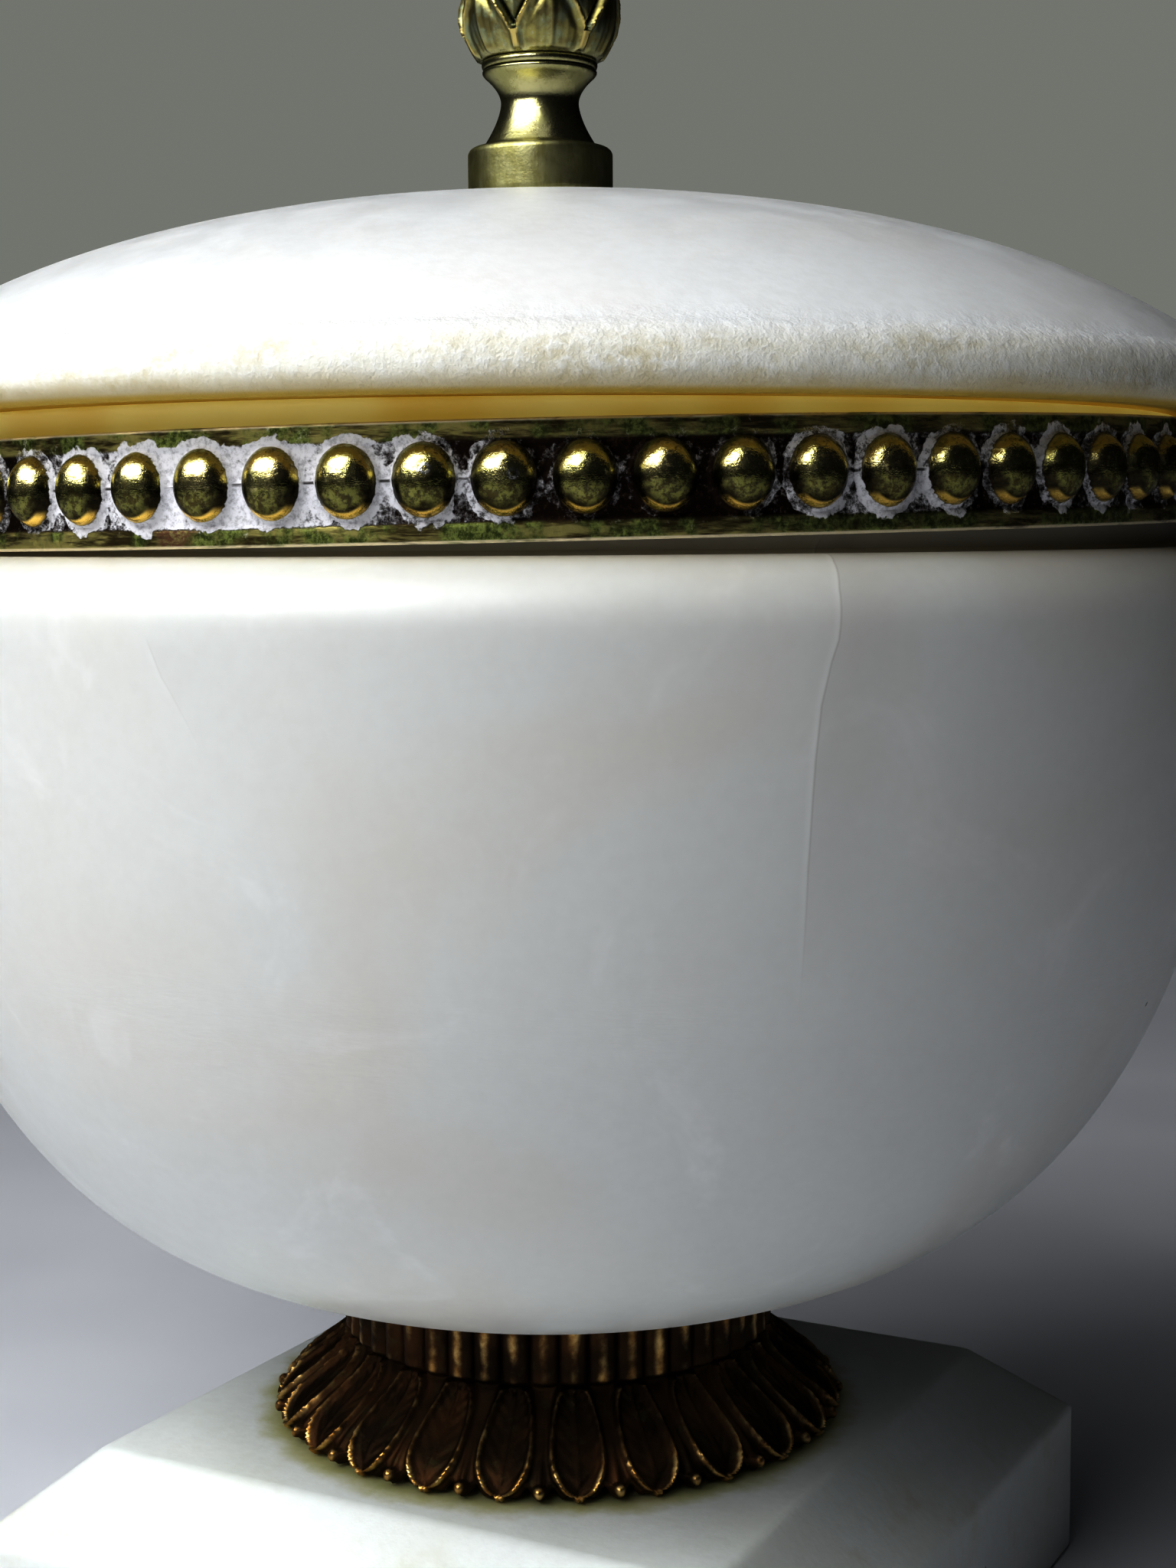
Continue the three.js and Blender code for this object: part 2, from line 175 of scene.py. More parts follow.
# Light: a window to the left, and a wide faint one above it, each as its name, turn,
# elevation, distance, size (metres), power (watts) and tint
WINDOW_TURN = CAMERA_TURN - math.radians(47)
HIGH_TURN = CAMERA_TURN - math.radians(58)
LIGHTS = [("window", WINDOW_TURN, math.radians(43), 0.6, (0.65, 0.44), 3.9, (1.0, 1.0, 1.0)),
          ("high_window", HIGH_TURN, math.radians(60), 0.8, (1.0, 1.0), 2.8, (0.97, 0.98, 1.0))]
AIM_HEIGHT = 0.1
WALL_GLOW_ELEVATION = math.radians(20)
WALL_GLOW = (0.003, 0.12)  # away from the window and towards it
WALL_GLOW_EDGE = 0.45  # cosine of the angle from the window where the glow begins
WALL_SEEN = 0.375
TONE_GAMMA = 0.556  # the photograph's deep shadows
TABLE_RADIUS = 0.95
TABLE_GAP = 0.0001

# Marks on the band: where dried polish is heaviest, a rust stain, and ring marks as
# bead number, millimetres right and millimetres up from the bead's crown
CRUST_TURN = math.radians(4)
CRUST_SPREAD = 13  # degrees
SECOND_CRUST_TURN = math.radians(52)
SECOND_CRUST_SPREAD = 8
RUST_TURN = math.radians(1.5)
RUST_LEVEL = -3.6
RUST_RADIUS = 4.2
BAND_MARK_RADIUS = 65.6
BEAD_MARKS = [(-2, 0.45, 0.85), (-1, 0.8, 0.3)]

# The stone's cracks, as turns in degrees and heights in millimetres
LONG_CRACK = [(48.25, 115.6), (47.92, 115.0), (47.47, 113.0), (47.31, 110.6), (47.2, 109.1),
              (46.76, 107.4), (46.2, 104.1), (45.98, 100.0), (45.93, 96.8), (45.94, 91.2), (46.17, 84.3)]
SHORT_CRACK = [(2.91, 107.9), (3.38, 106.4), (3.99, 105.2), (4.38, 104.3)]
# Strength of the painted glow on the bowl's neck
PAINTED_NECK_GLOW = 0.36


# Shared curves

def super_share(share, power):
    """The other leg of a quarter superellipse, as a share, for one leg's share."""
    inside = min(1.0, max(0.0, share))
    return (1 - inside ** power) ** (1 / power)


def smooth(share):
    inside = min(1.0, max(0.0, share))
    return inside * inside * (3 - 2 * inside)


def mixed(first, second, share):
    return first + (second - first) * share


def hump(distance, width):
    """A soft ridge, 1 at its middle, gone at about twice its width."""
    return math.exp(-(distance / width) ** 2)


def shares(steps, first=0):
    """Evenly spaced shares, up to 1."""
    return [step / steps for step in range(first, steps + 1)]


def arc(centre, across, up, start, end, steps):
    """Points of an ellipse from one angle to another, in degrees, both ends included."""
    points = []
    for share in shares(steps):
        angle = math.radians(mixed(start, end, share))
        points.append((centre[0] + across * math.cos(angle), centre[1] + up * math.sin(angle)))
    return points


def line(start, end, steps):
    """Evenly spaced points after the start, up to the end."""
    return [(mixed(start[0], end[0], share), mixed(start[1], end[1], share))
            for share in shares(steps, 1)]


def wrapped(share):
    """A place round a ring, brought to -0.5 to 0.5 about the nearest whole number."""
    return share - math.floor(share + 0.5)


# Levels and radii that several pieces share

def bowl_levels():
    """The levels and radii that the bowl, the band and the lid share."""
    seat_radius = REED_RADIUS + BOWL_SEAT_MARGIN
    drop = super_share(seat_radius / BOWL_CURVE_RADIUS, BOWL_CURVE_POWER)
    centre = bowl_low.z + BOWL_CURVE_HEIGHT * drop
    rim = bowl_low.z + BOWL_HEIGHT
    rim_radius = BOWL_CURVE_RADIUS * super_share((centre - rim) / BOWL_CURVE_HEIGHT, BOWL_CURVE_POWER)
    return seat_radius, centre, rim, rim_radius


seat_radius, bowl_centre, bowl_rim, bowl_rim_radius = bowl_levels()
band_radius = bowl_rim_radius - BAND_INSET
neck_radius = band_radius - BAND_THICKNESS - NECK_PLAY
mouth_radius = neck_radius - NECK_WALL
neck_top = bowl_high.z
lid_seat = lid_low.z + FLANGE_DEPTH
lid_edge = lid_seat - LID_LIP
skirt_radius = REED_RADIUS + SKIRT_FLARE


# Turning and finishing pieces

def spun(profile, sides, repeats=16, closed=False):
    """A profile of (radius, height) points, turned full round the upright axis.
    One of the repeats is spun, and is then copied round, which is much the quicker way."""
    bm = bmesh.new()
    points = [bm.verts.new((0, -radius, height)) for radius, height in profile]
    edges = [bm.edges.new(pair) for pair in zip(points, points[1:])]
    if closed:
        edges.append(bm.edges.new((points[-1], points[0])))
    axis = {"cent": (0, 0, 0), "axis": (0, 0, 1), "dvec": (0, 0, 0), "use_merge": False}
    bmesh.ops.spin(bm, geom=points + edges, angle=FULL / repeats, steps=sides // repeats,
                   use_duplicate=False, **axis)
    sector = bm.verts[:] + bm.edges[:] + bm.faces[:]
    bmesh.ops.spin(bm, geom=sector, angle=FULL * (1 - 1 / repeats), steps=repeats - 1,
                   use_duplicate=True, **axis)
    bmesh.ops.remove_doubles(bm, verts=bm.verts, dist=1e-3)
    bmesh.ops.recalc_face_normals(bm, faces=bm.faces)
    return bm


def polar(vert):
    """Turn, radius and height of a point."""
    x, y, z = vert.co
    return math.atan2(x, -y), math.hypot(x, y), z


def set_polar(vert, turn, radius, height):
    vert.co = (radius * math.sin(turn), -radius * math.cos(turn), height)


def added(name, data):
    """A new object in the scene."""
    holder = bpy.data.objects.new(name, data)
    bpy.context.scene.collection.objects.link(holder)
    return holder


def meshed(bm, name, material):
    """A new object with the shape worked out in bm."""
    mesh = bpy.data.meshes.new(name)
    bm.to_mesh(mesh)
    bm.free()
    mesh.materials.append(material)
    return added(name, mesh)


def finished(bm, node, material, crease, body="root"):
    """Brings a piece to metres, names it after its node, hangs it on its body and hides the node's plain
    solid.
    """
    bmesh.ops.scale(bm, vec=(MM, MM, MM), verts=bm.verts)
    piece = meshed(bm, node + "_dressed", material)
    piece.data.shade_smooth()
    piece.data.set_sharp_from_angle(angle=math.radians(crease))
    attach(piece, body)
    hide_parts(node)


def lift(bm, rise):
    bmesh.ops.translate(bm, vec=(0, 0, rise), verts=bm.verts)


# Materials

class Nodes:
    """A tree of shader nodes. Methods add a node and give back the node or its output."""

    def __init__(self, tree):
        self.tree = tree

    def node(self, kind, inputs=None, **settings):
        made = self.tree.nodes.new(kind)
        for name, value in settings.items():
            setattr(made, name, value)
        for key, value in (inputs or {}).items():
            self.feed(made.inputs[key], value)
        return made

    def feed(self, socket, value):
        if isinstance(value, bpy.types.NodeSocket):
            self.tree.links.new(value, socket)
        elif socket.type == "RGBA":
            socket.default_value = (*value, 1.0)
        else:
            socket.default_value = value

    def range(self, value, low, high, to_low=0.0, to_high=1.0):
        """Soft step of a value from low to high."""
        made = self.node("ShaderNodeMapRange", {
            "Value": value, "From Min": low, "From Max": high, "To Min": to_low, "To Max": to_high},
            interpolation_type="SMOOTHSTEP")
        return made.outputs["Result"]


class Finish(Nodes):
    """One material: its nodes, and its colour as the layers so far have made it."""

    def __init__(self, name):
        self.material = bpy.data.materials.new(name)
        self.material.use_nodes = True
        super().__init__(self.material.node_tree)
        self.shader = self.tree.nodes["Principled BSDF"]
        self.place = self.node("ShaderNodeTexCoord").outputs["Object"]

    def surface(self, **values):
        """Feeds the shader's own sockets, named with underscores for spaces."""
        for name, value in values.items():
            self.feed(self.shader.inputs[name.replace("_", " ")], value)

    def stretched(self, flat, up):
        """The place, squeezed so that patterns run longer where a number is small."""
        mapping = self.node("ShaderNodeMapping", {"Vector": self.place, "Scale": (flat, flat, up)})
        return mapping.outputs["Vector"]

    def noise(self, size, detail=2.0, rough=0.55, distortion=0.0, place=None):
        """Cloudy noise with features about size millimetres across."""
        made = self.node("ShaderNodeTexNoise", {
            "Vector": place or self.place, "Scale": 1 / (size * MM), "Detail": detail,
            "Roughness": rough, "Distortion": distortion})
        return made.outputs["Fac"]

    def cells(self, size):
        """Distance in a scatter of cells about size millimetres apart."""
        made = self.node("ShaderNodeTexVoronoi", {"Vector": self.place, "Scale": 1 / (size * MM)})
        return made.outputs["Distance"]

    def span(self, place, start, end, to_start=0.0, to_end=1.0):
        """Soft step of a place between two others, given in millimetres."""
        return self.range(place, start * MM, end * MM, to_start, to_end)

    def math(self, operation, first, second=0.0, clamp=False):
        made = self.node("ShaderNodeMath", {0: first, 1: second}, operation=operation, use_clamp=clamp)
        return made.outputs["Value"]

    def times(self, *values):
        product = values[0]
        for value in values[1:]:
            product = self.math("MULTIPLY", product, value)
        return product

    def plus(self, first, second):
        return self.math("ADD", first, second, clamp=True)

    def mix(self, share, first, second):
        made = self.node("ShaderNodeMix", {0: share, 6: first, 7: second}, data_type="RGBA")
        return made.outputs[2]

    def layer(self, share, tone):
        """Lays a share of a tone over the colour."""
        self.colour = self.mix(share, self.colour, tone)

    def blend(self, value, low, high, first, second):
        """From one colour to another as a value goes from low to high."""
        return self.mix(self.range(value, low, high), first, second)

    def attribute(self, name):
        return self.node("ShaderNodeAttribute", attribute_name=name).outputs["Fac"]

    def heights(self):
        """Distance from the upright axis and height, in metres."""
        parts = self.node("ShaderNodeSeparateXYZ", {"Vector": self.place})
        flat = self.node("ShaderNodeCombineXYZ", {"X": parts.outputs["X"], "Y": parts.outputs["Y"]})
        reach = self.node("ShaderNodeVectorMath", {0: flat.outputs["Vector"]}, operation="LENGTH")
        return reach.outputs["Value"], parts.outputs["Z"]

    def beside(self, places):
        """Millimetres to the right of a line given by turns in degrees and heights in millimetres."""
        turns = [math.radians(turn) for turn, height in places]
        levels = [height * MM for turn, height in places]
        lowest = min(levels)
        tall = max(levels) - lowest
        least = min(turns)
        spread = max(turns) - least
        parts = self.node("ShaderNodeSeparateXYZ", {"Vector": self.place})
        front = self.math("MULTIPLY", parts.outputs["Y"], -1.0)
        own_turn = self.math("ARCTAN2", parts.outputs["X"], front)
        reach, level = self.heights()
        share = self.math("DIVIDE", self.math("SUBTRACT", level, lowest), tall)
        made = self.node("ShaderNodeFloatCurve", {"Value": share})
        curve = made.mapping.curves[0]
        places = sorted(((height - lowest) / tall, (turn - least) / spread)
                        for turn, height in zip(turns, levels))
        curve.points[0].location = places[0]
        curve.points[1].location = places[-1]
        for place in places[1:-1]:
            curve.points.new(*place)
        for point in curve.points:
            point.handle_type = "VECTOR"
        made.mapping.update()
        line_turn = self.math("ADD", self.times(made.outputs["Value"], spread), least)
        return self.times(self.math("SUBTRACT", own_turn, line_turn), self.math("DIVIDE", reach, MM))

    def near(self, spot, radius):
        """1 at a spot, in millimetres, falling to 0 at the radius."""
        away = self.node("ShaderNodeVectorMath", {0: self.place, 1: spot * MM}, operation="DISTANCE")
        return self.span(away.outputs["Value"], 0.0, radius, 1.0, 0.0)

    def bump(self, height, depth):
        """Relief of a 0 to 1 height, depth millimetres deep."""
        made = self.node("ShaderNodeBump", {"Height": height, "Distance": depth * MM, "Strength": 1.0})
        return made.outputs["Normal"]


def stone_body(coat, white, warm):
    """Faintly clouded translucent stone: colour before any stain."""
    clouds = coat.noise(46, detail=3, rough=0.6, distortion=0.6)
    veins = coat.noise(17, detail=4, rough=0.62, distortion=1.2)
    grain = coat.noise(1.3, detail=1, rough=0.6)
    coat.colour = coat.mix(coat.range(clouds, 0.42, 0.72, 0.0, 0.75), white, warm)
    coat.layer(coat.range(veins, 0.55, 0.75, 0.0, 0.35), (0.93, 0.93, 0.92))
    coat.layer(coat.range(grain, 0.3, 0.75, 0.0, 0.10), (0.7, 0.69, 0.66))


def stone_surface(coat, roughness, normal):
    coat.shader.subsurface_method = "BURLEY"
    coat.surface(Base_Color=coat.colour, Roughness=roughness, Normal=normal, IOR=1.53,
                 Subsurface_Weight=0.3, Subsurface_Scale=0.005,
                 Subsurface_Radius=(1.0, 0.9, 0.75))


def dark_specks(coat, size, share):
    """A few dark grains in the stone."""
    speck = coat.range(coat.cells(size), share * 0.6, share, 0.85, 0.0)
    coat.layer(speck, (0.16, 0.13, 0.1))


def cracked(coat, places, shade):
    """A hairline through turns (degrees) and heights (mm): a pale left lip, duller stone on its right."""
    across = coat.beside(places)
    level = coat.heights()[1]
    ends = [height for turn, height in places]
    length = coat.times(coat.span(level, min(ends) - 6, min(ends) + 12),
                        coat.span(level, max(ends) + 2, max(ends)))
    right = coat.times(coat.range(across, 0.0, 0.12), coat.range(across, 10.0, 1.0), length)
    coat.layer(coat.times(right, shade), (0.56, 0.55, 0.53))
    lip = coat.times(coat.range(across, -0.75, -0.15), coat.range(across, 0.05, -0.1), length)
    coat.layer(coat.times(lip, shade), (0.95, 0.95, 0.94))
    fissure = coat.times(coat.range(across, -0.1, 0.04), coat.range(across, 0.2, 0.06), length)
    coat.layer(coat.times(fissure, shade), (0.36, 0.33, 0.3))


def bowl_stone():
    coat = Finish("bowl_alabaster")
    reach, height = coat.heights()
    # A greyer white than the lid's stone: partly the stone, partly painted shade for the bowl's dimmer
    # light
    stone_body(coat, (0.8, 0.81, 0.79), (0.78, 0.755, 0.7))
    # Dried oil and dirt give the neck its honey yellow, and the same honey tints the painted glow below
    honey_cloud = coat.noise(14, detail=2)
    honey_stain_and_glow = coat.blend(honey_cloud, 0.35, 0.7, (0.86, 0.74, 0.28), (0.76, 0.57, 0.12))
    neck = coat.times(coat.span(reach, neck_radius + 1.4, neck_radius + 0.6),
                      coat.span(height, bowl_rim + 3.4, bowl_rim + 6.9))
    coat.layer(neck, honey_stain_and_glow)
    # A dusty yellow stain lies on the shoulder under the band, with painted shade and painted brass
    # reflection
    ledge_stain_and_shade = coat.times(coat.span(reach, band_radius + 3.2, band_radius + 0.5),
                       coat.span(height, bowl_rim - 1.0, bowl_rim - 0.2))
    coat.layer(coat.times(ledge_stain_and_shade, 0.6), (0.7, 0.66, 0.56))
    cracked(coat, LONG_CRACK, 0.25)
    cracked(coat, SHORT_CRACK, 0.16)
    dark_specks(coat, 26, 0.012)
    # Painted glow: above the band the neck emits honey light, standing in for light passed through lid
    # and wall
    above_band = coat.span(height, bowl_rim + 7.6, bowl_rim + 9.2)
    coat.surface(Emission_Color=honey_stain_and_glow, Emission_Strength=coat.times(neck, above_band, PAINTED_NECK_GLOW))
    # Fine scratches run round the belly
    scratch = coat.noise(0.7, detail=3, rough=0.75, place=coat.stretched(0.18, 1.0))
    belly = coat.times(coat.span(height, bowl_low.z + 25, bowl_low.z + 31),
                       coat.span(height, bowl_low.z + 45, bowl_low.z + 38))
    relief = coat.bump(coat.times(scratch, coat.plus(coat.times(belly, 0.8), 0.2)), 0.03)
    roughness = coat.range(coat.noise(6, detail=3), 0.3, 0.75, 0.3, 0.44)
    stone_surface(coat, roughness, relief)
    return coat.material


def lid_stone():
    coat = Finish("lid_alabaster")
    height = coat.heights()[1]
    # A whiter stone than the bowl's: partly the stone, partly a painted lift for the stronger light on
    # the lid's top
    stone_body(coat, (0.94, 0.955, 0.96), (0.92, 0.905, 0.88))
    # The blunt rim is grainy and stained
    grain = coat.noise(1.1, detail=3, rough=0.72)
    stain = coat.noise(7, detail=4, rough=0.65, place=coat.stretched(1.0, 2.0))
    rim_level = coat.math("ADD", height, coat.times(coat.noise(9), 1.6 * MM))
    rim = coat.span(rim_level, lid_edge + 6.6, lid_edge + 4.0)
    stained = coat.blend(stain, 0.38, 0.72, (0.88, 0.87, 0.78), (0.7, 0.65, 0.47))
    stained = coat.blend(grain, 0.35, 0.7, stained, (0.93, 0.93, 0.88))
    low_edge = coat.span(rim_level, lid_edge + 3.1, lid_edge + 0.7)
    rim_colour = coat.mix(low_edge, stained, (0.68, 0.57, 0.3))
    coat.layer(coat.times(rim, 0.85), rim_colour)
    # Honey at the lid's lowest edge: stain, with a painted glow of light through the stone
    under_stain_and_glow = coat.span(height, lid_edge + 0.6, lid_edge + 0.1)
    coat.layer(under_stain_and_glow, (0.66, 0.5, 0.14))
    dark_specks(coat, 24, 0.014)
    grainy = coat.span(height, lid_edge + 7.4, lid_edge + 5.0, 0.09, 1.0)
    relief = coat.bump(coat.times(grain, grainy), 0.22)
    gloss = coat.range(coat.noise(5, detail=3), 0.3, 0.75, 0.31, 0.42)
    roughness = coat.plus(gloss, coat.times(rim, 0.3))
    stone_surface(coat, roughness, relief)
    return coat.material


def plinth_stone():
    coat = Finish("plinth_alabaster")
    reach, height = coat.heights()
    stone_body(coat, (0.88, 0.91, 0.9), (0.85, 0.87, 0.82))
    # Verdigris has crept out from under the foot
    creep = coat.times(coat.noise(5, detail=4, rough=0.6), 5 * MM)
    halo = coat.span(coat.math("SUBTRACT", reach, creep), skirt_radius + 0.9, skirt_radius - 2.8)
    green = coat.mix(coat.noise(2.2, detail=4), (0.5, 0.52, 0.2), (0.62, 0.6, 0.36))
    on_top = coat.span(height, plinth_high.z - 0.6, plinth_high.z - 0.1)
    coat.layer(coat.times(halo, on_top, 0.9), green)
    rust = coat.range(coat.noise(12, detail=4, rough=0.65), 0.54, 0.78, 0.0, 0.3)
    coat.layer(rust, (0.62, 0.56, 0.38))
    dark_specks(coat, 20, 0.012)
    relief = coat.bump(coat.noise(3, detail=4, rough=0.65), 0.08)
    roughness = coat.range(coat.noise(4, detail=3), 0.3, 0.75, 0.34, 0.5)
    stone_surface(coat, roughness, relief)
    return coat.material


def foot_metal():
    """Dark brown bronze colour, gilt left on the raised edges."""
    coat = Finish("foot_dark_brass")
    crest = coat.attribute("crest")
    worn = coat.noise(1.6, detail=4, rough=0.65)
    patch = coat.noise(6, detail=2)
    dark = coat.blend(patch, 0.35, 0.7, (0.055, 0.034, 0.018), (0.15, 0.08, 0.036))
    dark = coat.mix(coat.range(worn, 0.52, 0.75, 0.0, 0.5), dark, (0.12, 0.12, 0.055))
    gilt = coat.blend(worn, 0.35, 0.7, (0.6, 0.36, 0.12), (0.85, 0.66, 0.34))
    kept = coat.noise(3.4, detail=3)
    gilding = coat.plus(coat.times(worn, 0.55), coat.times(kept, 0.6))
    rubbed = coat.range(coat.math("ADD", crest, gilding), 1.0, 1.75)
    coat.colour = coat.mix(rubbed, dark, gilt)
    relief = coat.bump(coat.noise(0.45, detail=2, rough=0.7), 0.05)
    roughness = coat.range(rubbed, 0.0, 1.0, 0.52, 0.3)
    coat.surface(Base_Color=coat.colour, Roughness=roughness, Normal=relief, Metallic=0.9)
    return coat.material


def band_tilt():
    """The band's lean, as a turn about a line across it."""
    hinge = Vector((-math.cos(BAND_RISE_TURN), -math.sin(BAND_RISE_TURN), 0))
    return Matrix.Rotation(BAND_TILT, 3, hinge)


def band_place(turn, radius, level):
    """Where the tilted band has a point that is given on the upright ring."""
    point = Vector((radius * math.sin(turn), -radius * math.cos(turn), level))
    return band_tilt() @ point + Vector((0, 0, (band_low.z + band_high.z) / 2))


def ring_mark(coat, turn, level):
    """A tiny ring printed on a bead, 1 on its line."""
    spot = band_place(turn, BAND_MARK_RADIUS, level)
    away = coat.node("ShaderNodeVectorMath", {0: coat.place, 1: spot * MM}, operation="SUBTRACT")
    offset = away.outputs["Vector"]
    along = Vector((math.cos(turn), math.sin(turn), 0))
    sideways = coat.node("ShaderNodeVectorMath", {0: offset, 1: along}, operation="DOT_PRODUCT")
    across = sideways.outputs["Value"]
    up = coat.node("ShaderNodeSeparateXYZ", {"Vector": offset}).outputs["Z"]
    squares = coat.math("ADD", coat.times(across, across), coat.times(up, up))
    reach = coat.math("DIVIDE", coat.math("SQRT", squares), MM)
    return coat.times(coat.range(reach, 0.16, 0.28), coat.range(reach, 0.52, 0.4))


def band_metal():
    """Green-brown patina, brass rubbed on the beads with painted highlight above and painted shade below,
    dried polish round them.
    """
    coat = Finish("band_aged_brass")
    level = coat.attribute("level")  # millimetres above the strip's middle
    crust_left = coat.attribute("crust")  # how much dried polish is left there
    bead = coat.attribute("bead")  # 0 at a bead's crown, 1 at its foot
    streak = coat.noise(1.6, detail=4, rough=0.72, place=coat.stretched(0.22, 1.6))
    patch = coat.noise(4.2, detail=4, rough=0.62)
    grit = coat.noise(0.55, detail=3, rough=0.78)
    wobble = coat.math("SUBTRACT", coat.noise(1.9, detail=3), 0.5)
    ragged = coat.math("ADD", bead, coat.times(wobble, 0.9))
    side = coat.math("ABSOLUTE", level)
    # Plain borders: dark brown metal, olive where rubbed, with green tarnish
    olive = coat.blend(streak, 0.4, 0.6, (0.11, 0.09, 0.04), (0.54, 0.5, 0.24))
    green = coat.blend(grit, 0.35, 0.68, (0.12, 0.15, 0.05), (0.46, 0.52, 0.21))
    border = coat.blend(patch, 0.45, 0.58, olive, green)
    scuffs = coat.times(coat.range(coat.noise(2.6, detail=5, rough=0.75), 0.6, 0.67),
                        coat.range(grit, 0.4, 0.6))
    border = coat.mix(coat.times(scuffs, 0.8), border, (0.7, 0.7, 0.6))
    rust_spot = coat.near(band_place(RUST_TURN, band_radius, RUST_LEVEL), RUST_RADIUS)
    rust = coat.range(coat.math("ADD", rust_spot, coat.times(wobble, 1.6)), 0.15, 0.8)
    rust = coat.times(rust, coat.range(grit, 0.3, 0.6), 0.9)
    border = coat.mix(rust, border, (0.25, 0.14, 0.1))
    # The sunken ground between the beads is nearly black
    ground = coat.blend(grit, 0.5, 0.8, (0.035, 0.022, 0.016), (0.16, 0.1, 0.05))
    coat.colour = coat.blend(side, 3.0, 3.4, ground, border)
    # Beads: painted highlight above, olive speckled patina with painted shade below, black patina and
    # painted shade on the flanks, a painted gold reflection of the bowl at the foot
    # Painted highlight: pale brass over the beads' upper half
    bright = coat.blend(patch, 0.35, 0.65, (0.84, 0.76, 0.44), (0.68, 0.66, 0.32))
    shade = coat.blend(grit, 0.4, 0.62, (0.3, 0.3, 0.11), (0.08, 0.07, 0.035))
    spots = coat.range(coat.noise(1.1, detail=4, rough=0.75), 0.5, 0.66)
    # Painted shade: darker from the bead's middle down
    shaded_below = coat.range(coat.math("ADD", level, coat.times(wobble, 3.0)), 0.8, -0.3)
    brass = coat.mix(coat.times(shaded_below, 0.92), bright, shade)
    brass = coat.mix(coat.times(spots, 0.65), brass, (0.16, 0.13, 0.05))
    flank = coat.times(coat.range(ragged, 0.5, 0.9), coat.plus(coat.times(shaded_below, 0.6), 0.35))
    brass = coat.mix(flank, brass, (0.04, 0.032, 0.018))
    # Painted reflection of the white bowl: a gold line at each bead's foot
    painted_foot_reflection = coat.times(coat.range(bead, 0.8, 0.88), coat.range(level, -1.3, -2.1))
    brass = coat.mix(painted_foot_reflection, brass, (1.0, 0.78, 0.3))
    for bead_number, right, up in BEAD_MARKS:
        turn = BEAD_TURN + bead_number * FULL / BEAD_COUNT + right / BAND_MARK_RADIUS
        brass = coat.mix(ring_mark(coat, turn, BEAD_LIFT + up), brass, (0.85, 0.85, 0.8))
    on_bead = coat.range(bead, 1.03, 0.95)
    coat.layer(on_bead, brass)
    # Painted highlight along the strip's top and bottom edges, broken by streaks
    lip = coat.plus(coat.range(level, 4.4, 4.6), coat.range(level, -4.42, -4.56))
    painted_edge_highlight = coat.times(lip, coat.range(streak, 0.34, 0.5, 0.35, 1.0))
    coat.layer(painted_edge_highlight, (0.95, 0.88, 0.7))
    # Dried polish: a broken ring round each bead, and fields of it in the ground
    ring = coat.times(coat.range(bead, 0.93, 1.02), coat.range(ragged, 1.42, 1.22))
    fields = coat.times(coat.range(bead, 0.98, 1.06), coat.range(side, 3.8, 3.0), 0.85)
    spread = coat.math("MAXIMUM", ring, fields)
    broken = coat.math("ADD", coat.times(patch, 0.5), coat.times(grit, 0.38))
    amount = coat.math("ADD", coat.times(spread, 0.7), coat.times(crust_left, 0.55))
    crust = coat.times(coat.range(coat.math("ADD", amount, broken), 1.3, 1.46),
                       coat.range(spread, 0.02, 0.3))
    chalk = coat.blend(grit, 0.3, 0.58, (0.6, 0.6, 0.63), (0.9, 0.9, 0.94))
    coat.layer(crust, chalk)
    from_seam = coat.math("ABSOLUTE", coat.math("SUBTRACT", level, BEAD_LIFT))
    seam = coat.times(coat.range(from_seam, 0.16, 0.05), coat.range(bead, 1.02, 1.12),
                      coat.range(streak, 0.35, 0.5))
    coat.layer(coat.times(seam, 0.85), (0.03, 0.02, 0.015))
    metallic = coat.range(coat.plus(crust, coat.times(scuffs, 0.5)), 0.0, 1.0, 0.95, 0.0)
    dull = coat.range(on_bead, 0.0, 1.0, 0.5, 0.2)
    dull = coat.plus(dull, coat.times(coat.range(grit, 0.45, 0.8), 0.25))
    roughness = coat.plus(dull, coat.times(crust, 0.45))
    rise = coat.math("ADD", coat.times(streak, 0.16), coat.times(grit, 0.2))
    rise = coat.math("ADD", rise, coat.times(crust, 0.6))
    relief = coat.bump(rise, 0.25)
    coat.surface(Base_Color=coat.colour, Roughness=roughness, Normal=relief, Metallic=metallic)
    return coat.material


